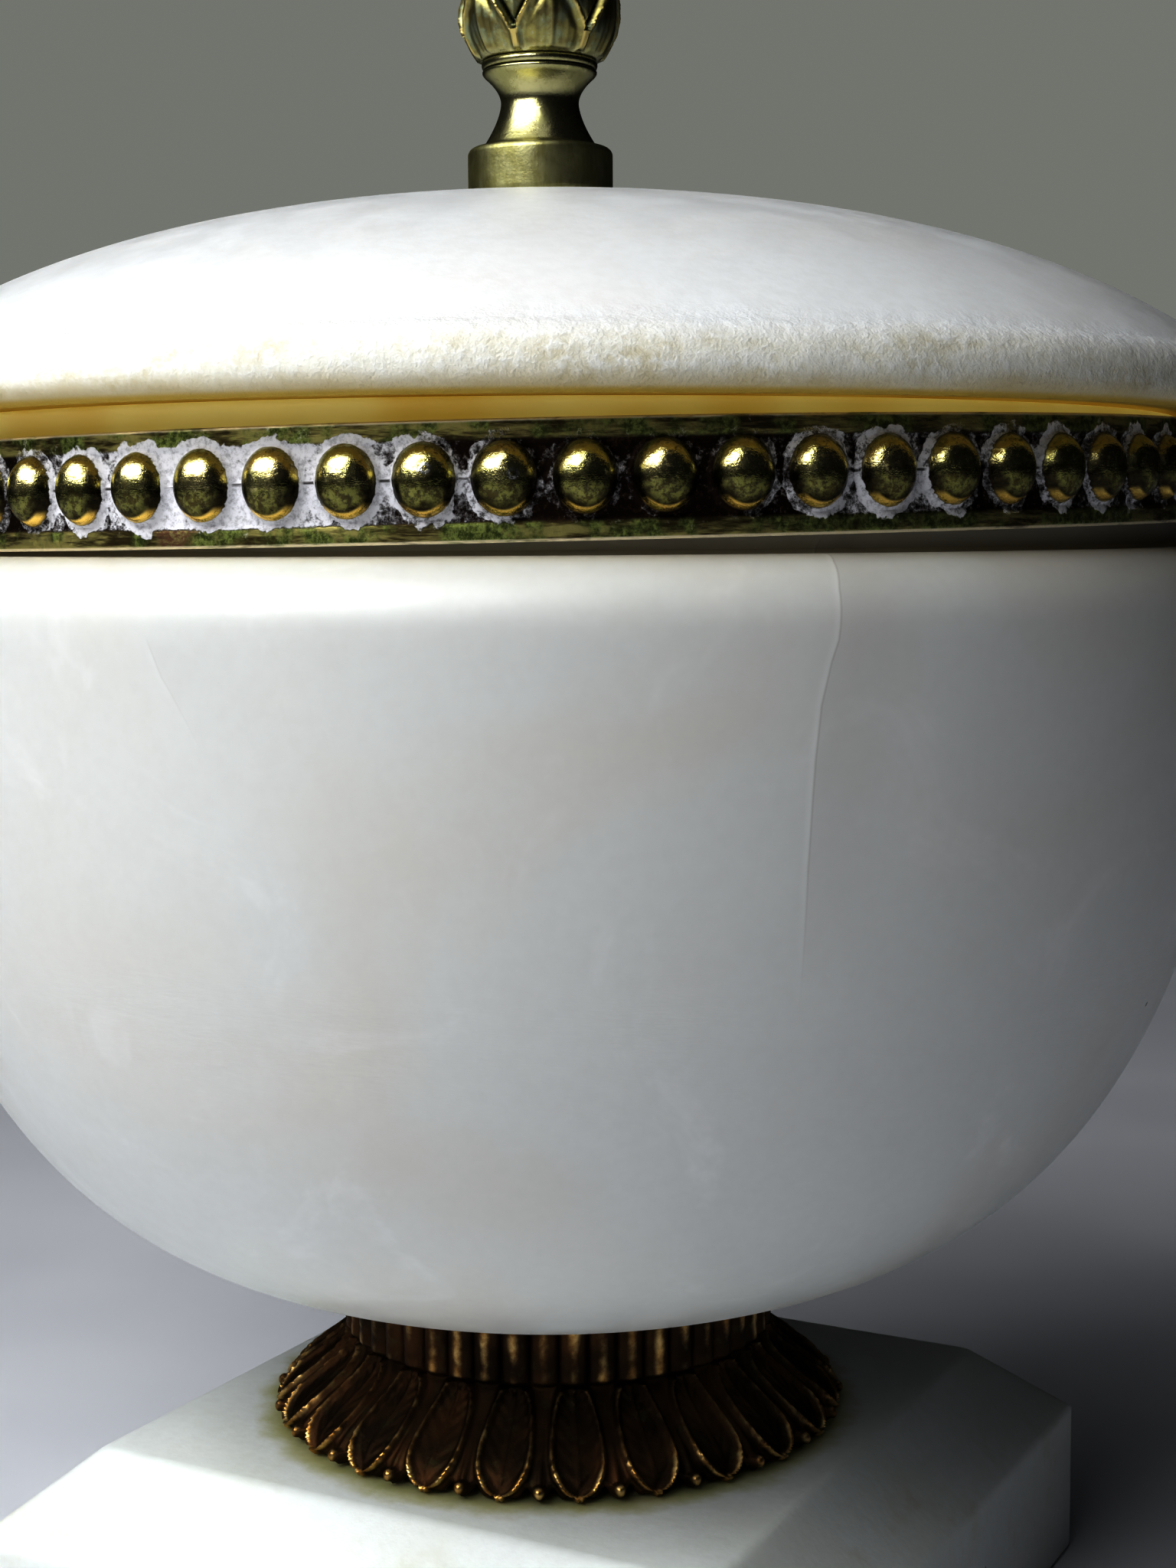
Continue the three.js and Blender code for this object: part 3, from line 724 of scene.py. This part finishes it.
def finial_metal():
    """Olive-gold brass, softly polished, dark in the grooves of the bud."""
    coat = Finish("finial_olive_brass")
    crest = coat.attribute("crest")
    height = coat.heights()[1]
    base = finial_low.z
    patch = coat.noise(3.2, detail=4, rough=0.6)
    grit = coat.noise(0.6, detail=3, rough=0.7)
    brass = coat.blend(patch, 0.35, 0.68, (0.6, 0.575, 0.36), (0.47, 0.46, 0.25))
    brass = coat.mix(coat.times(coat.range(grit, 0.5, 0.8), 0.4), brass, (0.24, 0.2, 0.08))
    bud = coat.span(height, base + COLLAR_HIGH + 0.1, base + COLLAR_HIGH + 0.7)
    blotch = coat.noise(1.5, detail=4, rough=0.65)
    dull = coat.blend(patch, 0.4, 0.62, (0.42, 0.38, 0.15), (0.4, 0.44, 0.32))
    dull = coat.blend(blotch, 0.45, 0.62, dull, (0.3, 0.26, 0.12))
    dull = coat.blend(blotch, 0.42, 0.32, dull, (0.5, 0.53, 0.42))
    coat.colour = coat.mix(coat.times(bud, 0.8), brass, dull)
    hollow = coat.range(crest, 0.42, 0.1)
    coat.layer(hollow, (0.035, 0.033, 0.02))
    coat.layer(coat.times(bud, coat.range(crest, 0.66, 0.9)), (0.72, 0.62, 0.3))
    streaks = coat.noise(1.4, detail=4, rough=0.65, place=coat.stretched(1.0, 0.35))
    streaks = coat.range(streaks, 0.38, 0.62)
    turning = coat.noise(0.35, detail=1, place=coat.stretched(0.05, 1.0))
    relief = coat.bump(coat.math("ADD", grit, coat.times(turning, 0.2)), 0.03)
    ring = coat.span(height, base + STEM_FOOT_HEIGHT, base + STEM_FOOT_HEIGHT - 0.6)
    ring_colour = coat.mix(streaks, (0.4, 0.38, 0.17), (0.56, 0.55, 0.33))
    coat.layer(coat.times(ring, 0.7), ring_colour)
    roughness = coat.plus(coat.range(patch, 0.3, 0.75, 0.23, 0.33), coat.times(bud, 0.14))
    roughness = coat.plus(roughness, coat.times(ring, 0.16))
    coat.surface(Base_Color=coat.colour, Roughness=roughness, Normal=relief, Metallic=0.95)
    return coat.material


def floor_paint():
    coat = Finish("pale_table")
    mottle = coat.noise(60, detail=2)
    coat.colour = coat.blend(mottle, 0.3, 0.7, (0.87, 0.885, 0.93), (0.9, 0.915, 0.955))
    roughness = coat.range(mottle, 0.3, 0.7, 0.5, 0.6)
    coat.surface(Base_Color=coat.colour, Roughness=roughness)
    return coat.material


# Plinth

def rounded(bm, edges, width, steps):
    bmesh.ops.bevel(bm, geom=edges, offset=width, segments=steps, profile=0.5, affect="EDGES",
                    material=-1)


def level_edges(bm):
    return [edge for edge in bm.edges if abs(edge.verts[0].co.z - edge.verts[1].co.z) < 0.01]


def build_plinth():
    """A block whose top is drawn in by the chamfer, with worn edges and corners."""
    half = plinth_high.x
    top_half = half - PLINTH_CHAMFER_RUN
    shoulder = plinth_high.z - PLINTH_CHAMFER_DROP
    bm = bmesh.new()
    bmesh.ops.create_cube(bm, size=2.0)
    bmesh.ops.scale(bm, vec=(half, half, shoulder / 2), verts=bm.verts)
    lift(bm, shoulder / 2)
    top = [face for face in bm.faces if face.normal.z > 0.5]
    raised = bmesh.ops.extrude_face_region(bm, geom=top)
    bmesh.ops.delete(bm, geom=top, context="FACES_ONLY")
    corners = [item for item in raised["geom"] if isinstance(item, bmesh.types.BMVert)]
    bmesh.ops.translate(bm, vec=(0, 0, PLINTH_CHAMFER_DROP), verts=corners)
    bmesh.ops.scale(bm, vec=(top_half / half, top_half / half, 1), verts=corners)
    bmesh.ops.recalc_face_normals(bm, faces=bm.faces)
    level = set(level_edges(bm))
    rounded(bm, [edge for edge in bm.edges if edge not in level], PLINTH_CORNER_ROUND, 5)
    sharp = [edge for edge in level_edges(bm) if edge.calc_face_angle(0) > math.radians(20)]
    rounded(bm, sharp, PLINTH_EDGE_ROUND, 4)
    long_edges = [edge for edge in bm.edges if edge.calc_length() > 6]
    bmesh.ops.subdivide_edges(bm, edges=long_edges, cuts=23, use_grid_fill=True)
    bmesh.ops.recalc_face_normals(bm, faces=bm.faces)
    finished(bm, "plinth", plinth_stone(), crease=60)


# Foot

def leaf_relief(across, along):
    """Rise of the skirt in millimetres, and how far it is rubbed bright.
    across runs from 0 at a leaf's middle to 0.5 between leaves, along from the reeds to the edge."""
    room = FULL / LEAF_COUNT * mixed(REED_RADIUS, skirt_radius, along)
    if along < LEAF_WIDEST:
        swell = 1 - LEAF_TAPER * ((LEAF_WIDEST - along) / LEAF_WIDEST) ** 2
    else:
        swell = super_share((along - LEAF_WIDEST) / (LEAF_TIP - LEAF_WIDEST), LEAF_END_POWER)
    half = max(0.02, LEAF_HALF_WIDTH * swell)
    edge = (across - half) * room
    rise = RIDGE_RISE * hump(edge, RIDGE_WIDTH)
    bright = hump(edge, 0.42) * (0.62 + 0.75 * smooth(along * 1.7 - 0.75))
    if across < half:
        inside = across / half
        rise -= LEAF_SINK * (1 - inside ** 2)
        middle = hump(across * room, MIDRIB_WIDTH)
        rise += MIDRIB_RISE * middle * smooth(4 * (0.95 - along))
        vein = math.sin(FULL * (along * 7.5 + across * 5.5))
        rise += VEIN_RISE * vein * smooth(inside * 3) * smooth((1 - inside) * 3)
        bright += 0.22 * middle + 0.3 * max(0.0, vein) * smooth((1 - inside) * 3)
    else:
        rise -= GAP_SINK * smooth(edge / 0.5)
        dart = (0.5 - across) * room
        rise += DART_RISE * hump(dart, DART_WIDTH) * smooth(along * 2.2 - 0.5)
        bright += 0.25 * hump(dart, 0.25)
    knob_along = (along - KNOB_PLACE) * 9.0
    knob_across = (0.5 - across) * room
    knob = 1 - (knob_along ** 2 + knob_across ** 2) / KNOB_RADIUS ** 2
    if knob > 0:
        rise = max(rise, 0.15 + KNOB_RISE * math.sqrt(knob))
        bright = max(bright, 1.1 * math.sqrt(knob))
    return rise, bright


def reed_relief(across, height):
    """Drop of a reed's side from its crown, and how far it is rubbed bright.
    across runs from 0 at a leaf's middle to 0.5, with a reed's crown at both ends."""
    off = min(across, 0.5 - across) * 4  # 0 on a crown, 1 in the groove
    round_side = super_share(off, REED_POWER)
    end = smooth((height - SKIRT_TOP) / (REED_END - SKIRT_TOP))
    pinch = REED_PINCH * hump(height - REED_PINCH_HEIGHT, 0.4)
    drop = REED_DEPTH * (1 - round_side * end) + pinch * round_side
    bright = round_side ** 4 * end * (1 - 2.2 * pinch) * 0.85
    return drop, bright


def build_foot():
    base = foot_low.z
    top = foot_high.z - foot_low.z
    top_radius = REED_RADIUS - REED_DEPTH / 2
    skirt_rows = 60
    reed_rows = 26
    columns = 32
    profile = [(0, 0), (skirt_radius - SKIRT_EDGE_INSET, 0), (skirt_radius - 0.4, 0)]
    for share in shares(skirt_rows):
        radius = mixed(top_radius, skirt_radius, smooth(1 - share))
        profile.append((radius, mixed(SKIRT_EDGE, SKIRT_TOP, share)))
    profile += line(profile[-1], (REED_RADIUS, REED_END), 5)
    profile += line((REED_RADIUS, REED_END), (REED_RADIUS, top), reed_rows)
    profile += [(REED_RADIUS - 2 * REED_DEPTH, top), (0, top)]
    bm = spun(profile, LEAF_COUNT * columns, LEAF_COUNT)
    crest = bm.verts.layers.float.new("crest")
    for vert in bm.verts:
        turn, radius, height = polar(vert)
        if radius < skirt_radius - SKIRT_EDGE_INSET - 0.01 and (height < 0.01 or height > top - 0.01):
            continue
        across = abs(wrapped((turn - FOOT_TURN) * LEAF_COUNT / FULL))
        bright = 0.0
        if height <= SKIRT_TOP + 1e-4:
            along = 1 - max(0.0, height - SKIRT_EDGE) / (SKIRT_TOP - SKIRT_EDGE)
            rise, bright = leaf_relief(across, along)
            slope = 6 * along * (1 - along) * (skirt_radius - top_radius) / (SKIRT_TOP - SKIRT_EDGE)
            lean = math.hypot(1, slope)
            lobe = hump((across - SCALLOP_PLACE) * 7.5, 0.5)
            scallop = SCALLOP_RISE * smooth((along - 0.8) / 0.2) * lobe
            radius += rise / lean - scallop * 0.5
            height += max(0.0, rise) * slope / lean + scallop
        else:
            drop, bright = reed_relief(across, height)
            reed = round((turn - FOOT_TURN) * 2 * LEAF_COUNT / FULL) % (2 * LEAF_COUNT)
            bright *= 0.85 + 0.7 * noise.noise(Vector((reed * 1.7, 2.3, height * 0.25)))
            radius = REED_RADIUS - drop
        vert[crest] = bright
        set_polar(vert, turn, radius, height)
    lift(bm, base)
    finished(bm, "foot", foot_metal(), crease=75)


# Bowl

def build_bowl():
    def outer(height):
        down = (bowl_centre - height) / BOWL_CURVE_HEIGHT
        return BOWL_CURVE_RADIUS * super_share(down, BOWL_CURVE_POWER)

    base = bowl_low.z
    shoulder = bowl_rim - SHOULDER_ROUND
    profile = [(0, base), (seat_radius * 0.5, base), (seat_radius - 0.3, base), (seat_radius, base + 0.1)]
    outer_rows = 72
    for share in shares(outer_rows, 1):
        height = mixed(base + 0.1, shoulder, 1 - math.cos(share * math.pi / 2))
        profile.append((outer(height), height))
    side = outer(shoulder)
    profile += arc((side - SHOULDER_ROUND, shoulder), SHOULDER_ROUND, SHOULDER_ROUND, 0, 90, 14)[1:]
    profile += [(neck_radius + 0.4, bowl_rim), (neck_radius, bowl_rim + 0.4)]
    profile += line((neck_radius, bowl_rim + 0.4), (neck_radius, neck_top - 0.6), 8)
    profile += arc((neck_radius - 0.6, neck_top - 0.6), 0.6, 0.6, 0, 90, 4)[1:]
    profile += arc((mouth_radius + 0.6, neck_top - 0.6), 0.6, 0.6, 90, 180, 4)
    floor = base + BOWL_FLOOR
    inner_height = bowl_centre - floor
    inner_radius = BOWL_CURVE_RADIUS - BOWL_WALL
    inner_top = bowl_rim - BOWL_WALL - SHOULDER_ROUND

    def inner(height):
        return inner_radius * super_share((bowl_centre - height) / inner_height, BOWL_CURVE_POWER)

    reach = inner(inner_top) - mouth_radius
    profile += arc((mouth_radius, inner_top), reach, SHOULDER_ROUND, 90, 0, 8)
    inner_rows = 36
    for share in shares(inner_rows, 1)[:-1]:
        height = mixed(floor, inner_top, 1 - math.sin(share * math.pi / 2))
        profile.append((inner(height), height))
    profile.append((0, floor))
    bm = spun(profile, 256)
    finished(bm, "bowl", bowl_stone(), crease=40)


# Beaded band

def band_wear(bead):
    """A steady pseudo-random number from 0 to 1 for one bead."""
    return noise.noise(Vector((bead * 1.37, 4.1, 0.6))) * 0.5 + 0.5


def bead_relief(across, up, bead):
    """Rise of the strip in millimetres and the bead's own share: 0 at its crown, 1 at its foot."""
    lean = (band_wear(bead + 30) - 0.5) * 0.5
    width = BEAD_HALF_WIDTH * mixed(0.96, 1.03, band_wear(bead))
    height = BEAD_HALF_HEIGHT * mixed(0.97, 1.02, band_wear(bead + 7))
    away = math.hypot((across - lean * 0.2) / width, (up - BEAD_LIFT - lean * 0.3) / height)
    rise = 0.0
    if away < 1:
        rise = BEAD_RISE * (1 - away * away) ** BEAD_DOME_POWER
    elif abs(up) < GROUND_HALF_HEIGHT - 0.05:
        rise = -GROUND_SINK * smooth((GROUND_HALF_HEIGHT - abs(up)) / 0.3) * smooth((away - 1) / 0.12)
    return rise, away


def build_band():
    half = BAND_HEIGHT / 2
    columns = 22
    rows = 44
    inside = band_radius - BAND_THICKNESS
    profile = [(inside, -half + 0.1), (inside + 0.1, -half), (band_radius - 0.15, -half)]
    profile += line((band_radius, -half + 0.12), (band_radius, half - 0.12), rows)
    profile += [(band_radius - 0.15, half), (inside + 0.1, half), (inside, half - 0.1), (inside, 0)]
    bm = spun(profile, BEAD_COUNT * columns, BEAD_COUNT, closed=True)
    bead_share = bm.verts.layers.float.new("bead")
    level = bm.verts.layers.float.new("level")
    crust = bm.verts.layers.float.new("crust")
    for vert in bm.verts:
        turn, radius, height = polar(vert)
        place = (turn - BEAD_TURN) * BEAD_COUNT / FULL
        bead = round(place) % BEAD_COUNT
        across = wrapped(place) * FULL / BEAD_COUNT * band_radius
        rise, away = bead_relief(across, height, bead)
        vert[bead_share] = min(2.0, away)
        vert[level] = height
        patchy = noise.noise(Vector((math.sin(turn) * 3.1, math.cos(turn) * 3.1, 1.7)))
        left = hump(wrapped((turn - CRUST_TURN) / FULL) * 360, CRUST_SPREAD)
        right = hump(wrapped((turn - SECOND_CRUST_TURN) / FULL) * 360, SECOND_CRUST_SPREAD)
        vert[crust] = 0.42 + 0.3 * patchy + 0.55 * left + 0.22 * right
        if radius > band_radius - 0.05:
            seam = 0.12 * hump(height - BEAD_LIFT, 0.12) if 1.0 < away < 1.5 else 0.0
            uneven = 0.05 * noise.noise(Vector((math.sin(turn) * 30, math.cos(turn) * 30, height * 0.3)))
            set_polar(vert, turn, radius + rise + seam + uneven, height)
    bmesh.ops.rotate(bm, verts=bm.verts, cent=(0, 0, 0), matrix=band_tilt())
    lift(bm, (band_low.z + band_high.z) / 2)
    finished(bm, "beaded_band", band_metal(), crease=50)


# Lid

def build_lid():
    lid_radius = bowl_rim_radius - LID_INSET
    curve_radius = lid_radius + LID_CURVE_REACH
    rim_share = super_share(lid_radius / curve_radius, LID_CURVE_POWER)
    curve_base = lid_edge + LID_RIM_HEIGHT - LID_CURVE_HEIGHT * rim_share
    flange_radius = mouth_radius - MOUTH_PLAY
    hollow = flange_radius - FLANGE_WALL

    def dome(distance):
        return curve_base + LID_CURVE_HEIGHT * super_share(distance / curve_radius, LID_CURVE_POWER)

    inner_rows = 16
    profile = [(hollow * share, dome(hollow * share) - LID_WALL) for share in shares(inner_rows)]
    profile += line(profile[-1], (hollow, lid_low.z + 0.5), 3)
    profile += [(hollow + 0.5, lid_low.z), (flange_radius - 0.5, lid_low.z)]
    profile += [(flange_radius, lid_low.z + 0.5), (flange_radius, lid_seat)]
    profile += line((flange_radius, lid_seat), (lid_radius - LID_LIP_INSET, lid_seat), 4)
    profile += line(profile[-1], (lid_radius - LID_LIP_INSET + LID_LIP, lid_edge), 3)
    # The rim is one blunt round, up to where the dome takes over
    shoulder_radius = lid_radius - 2.6
    rim_top = dome(shoulder_radius)
    low_round = 2.0
    profile += line(profile[-1], (lid_radius - low_round, lid_edge), 3)
    profile += arc((lid_radius - low_round, lid_edge + low_round), low_round, low_round, -90, 0, 10)[1:]
    high = rim_top - lid_edge - low_round
    profile += arc((shoulder_radius - 0.9, lid_edge + low_round), 3.5, high + 0.02, 0, 66, 14)[1:]
    dome_rows = 46
    start = profile[-1][0] - 0.4
    for share in shares(dome_rows):
        distance = start * math.sin((1 - share) * math.pi / 2)
        profile.append((distance, dome(distance)))
    bm = spun(profile, 512)
    for vert in bm.verts:
        turn, radius, height = polar(vert)
        if radius > lid_radius - 6 and height > lid_edge - 0.1:
            inward = smooth((radius - lid_radius + 4.6) / 2.2)
            rough = inward * smooth((height - lid_edge + 0.4) / 0.8)
            spot = Vector((vert.co.x * 0.9, vert.co.y * 0.9, height * 0.9))
            wave = noise.noise(spot) * 0.05 + noise.noise(spot * 0.22) * 0.12
            set_polar(vert, turn, min(radius + rough * (wave - 0.12), lid_radius), height)
    finished(bm, "lid", lid_stone(), crease=40)


# Finial

def bud_relief(across, above):
    """Rise of the bud in millimetres and how raised it is, 0 to 1.
    across runs from 0 at a front leaf's middle to 0.5 at the leaf behind; above is from the collar."""
    room = FULL / BUD_LEAF_COUNT * 7.6
    front = 0.5 * min(1.0, max(0.0, (8.6 - above) / 6.6))
    behind = 0.5 * min(1.0, max(0.0, (12.4 - above) / 5.2))
    edge = (front - across) * room
    if edge > 0:
        rise = 0.25 + 0.28 * hump(edge - 0.3, 0.32) + 0.22 * hump(across * room, 0.4)
        rise -= 0.22 * hump(edge - 1.1, 0.5)
        raised = 0.45 + 0.5 * hump(edge - 0.3, 0.35) + 0.3 * hump(across * room, 0.35)
        stub = 0.5 - across
        rise += 0.03 * math.cos(across * room * BUD_RIB_RATE)
        if above < 1.9:
            groove = hump(stub * room - 0.62, 0.3) * smooth((2.1 - above) / 0.6)
            rise -= 0.3 * groove
            raised -= 0.3 * groove
            raised += 0.4 * hump(stub * room, 0.3)
        elif above < 2.6:
            groove = hump(stub * room, 0.3)
            rise -= 0.5 * groove
            raised -= 0.6 * groove
    else:
        back = 0.5 - across
        back_edge = (behind - back) * room
        depth = smooth(-edge / 0.35)
        rise = 0.25 - 0.85 * depth
        raised = 0.5 - 0.5 * depth
        if back_edge > 0:
            lift = smooth((-edge - 0.2) / 0.5)
            rise += lift * (0.35 + 0.2 * hump(back * room, 0.35))
            raised += lift * (0.3 + 0.35 * hump(back * room, 0.35))
    return rise, min(1.0, max(0.0, raised))


def build_finial():
    base = finial_low.z
    tip = finial_high.z - base
    profile = [(0, 0), (RING_RADIUS - 0.3, 0), (RING_RADIUS, 0.3)]
    profile += line((RING_RADIUS, 0.3), (RING_RADIUS, RING_HEIGHT - 0.75), 5)
    profile += arc((RING_RADIUS - 0.75, RING_HEIGHT - 0.75), 0.75, 0.75, 0, 90, 8)[1:]
    profile += [(STEM_FOOT_RADIUS + 0.25, RING_HEIGHT + 0.02), (STEM_FOOT_RADIUS, STEM_FOOT_HEIGHT)]
    stem_rows = 20
    for share in shares(stem_rows, 1):
        radius = mixed(WAIST_RADIUS, STEM_FOOT_RADIUS, (1 - share) ** STEM_FLARE_POWER)
        profile.append((radius, mixed(STEM_FOOT_HEIGHT, WAIST_HEIGHT, share)))
    collar_rows = 15
    for share in shares(collar_rows, 1)[:-1]:
        radius = mixed(WAIST_RADIUS, COLLAR_RADIUS, share ** COLLAR_FLARE_POWER)
        profile.append((radius, mixed(WAIST_HEIGHT, COLLAR_LOW, share)))
    groove = COLLAR_LOW + 0.45
    profile += [(COLLAR_RADIUS - 0.02, COLLAR_LOW + 0.08), (COLLAR_RADIUS, groove - 0.18)]
    profile += [(COLLAR_RADIUS - 0.12, groove - 0.05), (COLLAR_RADIUS - 0.42, groove)]
    ring_half = (COLLAR_HIGH - groove) / 2
    profile += arc((COLLAR_RADIUS - 0.3, groove + ring_half), 0.36, ring_half, -70, 80, 10)
    start = math.acos((COLLAR_RADIUS + 0.5) / BUD_RADIUS)
    low_curve = (BUD_WIDEST - COLLAR_HIGH) / math.sin(start)
    profile += arc((0, BUD_WIDEST), BUD_RADIUS - 0.35, low_curve, -math.degrees(start), 0, 44)
    profile += arc((0, BUD_WIDEST), BUD_RADIUS - 0.35, tip - BUD_WIDEST, 0, 90, 64)[1:]
    columns = 44
    bm = spun(profile, BUD_LEAF_COUNT * columns, BUD_LEAF_COUNT)
    crest = bm.verts.layers.float.new("crest")
    for vert in bm.verts:
        turn, radius, height = polar(vert)
        vert[crest] = 0.55
        if height > COLLAR_HIGH - 0.02 and radius > 0.01:
            above = height - COLLAR_HIGH
            across = abs(wrapped((turn - BUD_TURN) * BUD_LEAF_COUNT / FULL))
            rise, raised = bud_relief(across, above)
            fade = smooth(above / 0.35) * smooth((tip - height) / 2.0) * min(1.0, radius / 5)
            vert[crest] = mixed(0.5, raised, fade)
            set_polar(vert, turn, radius + rise * fade, height)
        elif abs(height - groove) < 0.1 or height < 0.25:
            vert[crest] = 0.25
    across = (finial_low.x + finial_high.x) / 2
    away = (finial_low.y + finial_high.y) / 2
    bmesh.ops.translate(bm, vec=(across, away, base), verts=bm.verts)
    finished(bm, "finial", finial_metal(), crease=50)


# Table top, lights and camera

def toward(turn, elevation, distance):
    """A point out from the object's middle, in metres."""
    flat = math.cos(elevation) * distance
    height = math.sin(elevation) * distance + AIM_HEIGHT
    return Vector((flat * math.sin(turn), -flat * math.cos(turn), height))


def area_light(name, turn, elevation, distance, size, power, tint):
    lamp = bpy.data.lights.new(name, "AREA")
    lamp.shape = "RECTANGLE"
    lamp.size, lamp.size_y = size
    lamp.energy = power
    lamp.color = tint
    holder = added(name, lamp)
    holder.location = toward(turn, elevation, distance)
    aim = Vector((0, 0, AIM_HEIGHT)) - holder.location
    holder.rotation_euler = aim.to_track_quat("-Z", "Y").to_euler()


def build_floor():
    """A wide round table top, a hair below the plinth's underside."""
    bm = bmesh.new()
    bmesh.ops.create_circle(bm, cap_ends=True, cap_tris=False, radius=TABLE_RADIUS, segments=192)
    lift(bm, -TABLE_GAP)
    floor = meshed(bm, "table_top", floor_paint())


def build_world():
    """Grey walls, seen as they are, that give a soft glow from the window's side only."""
    world = bpy.data.worlds.new("grey_room")
    world.use_nodes = True
    room = Nodes(world.node_tree)
    window = toward(WINDOW_TURN, WALL_GLOW_ELEVATION, 1.0).normalized()
    place = room.node("ShaderNodeTexCoord").outputs["Generated"]
    facing = room.node("ShaderNodeVectorMath", {0: place, 1: window}, operation="DOT_PRODUCT")
    glow = room.range(facing.outputs["Value"], WALL_GLOW_EDGE, 1.0, *WALL_GLOW)
    walls = room.tree.nodes["Background"]
    room.feed(walls.inputs["Color"], (0.96, 0.98, 1.0))
    room.feed(walls.inputs["Strength"], glow)
    seen = room.node("ShaderNodeBackground", {"Color": (0.97, 1.0, 0.93), "Strength": WALL_SEEN})
    by_camera = room.node("ShaderNodeLightPath").outputs["Is Camera Ray"]
    either = room.node("ShaderNodeMixShader", {
        "Fac": by_camera, 1: walls.outputs["Background"], 2: seen.outputs["Background"]})
    room.feed(room.tree.nodes["World Output"].inputs["Surface"], either.outputs["Shader"])
    bpy.context.scene.world = world


def build_camera():
    camera = bpy.data.cameras.new("photo_camera")
    camera.lens = CAMERA_LENS
    camera.sensor_width = 36.0
    camera.sensor_fit = "AUTO"
    camera.clip_start = 0.01
    forward = Vector((math.sin(CAMERA_YAW) * math.cos(CAMERA_PITCH),
                      math.cos(CAMERA_YAW) * math.cos(CAMERA_PITCH), -math.sin(CAMERA_PITCH)))
    right = Vector((math.cos(CAMERA_YAW), -math.sin(CAMERA_YAW), 0))
    down = forward.cross(right)
    rolled_right = math.cos(CAMERA_ROLL) * right + math.sin(CAMERA_ROLL) * down
    rolled_down = math.cos(CAMERA_ROLL) * down - math.sin(CAMERA_ROLL) * right
    axes = Matrix((rolled_right, -rolled_down, -forward)).transposed().to_4x4()
    stand = Matrix.Translation((0, -CAMERA_DISTANCE * MM, CAMERA_HEIGHT * MM))
    holder = added("photo_camera", camera)
    holder.matrix_world = Matrix.Rotation(CAMERA_TURN, 4, "Z") @ stand @ axes
    bpy.context.scene.camera = holder


build_camera()
build_plinth()
build_foot()
build_bowl()
build_band()
build_lid()
build_finial()
build_floor()
build_world()
for light in LIGHTS:
    area_light(*light)
bpy.context.scene.view_settings.view_transform = "Standard"
bpy.context.scene.view_settings.gamma = TONE_GAMMA
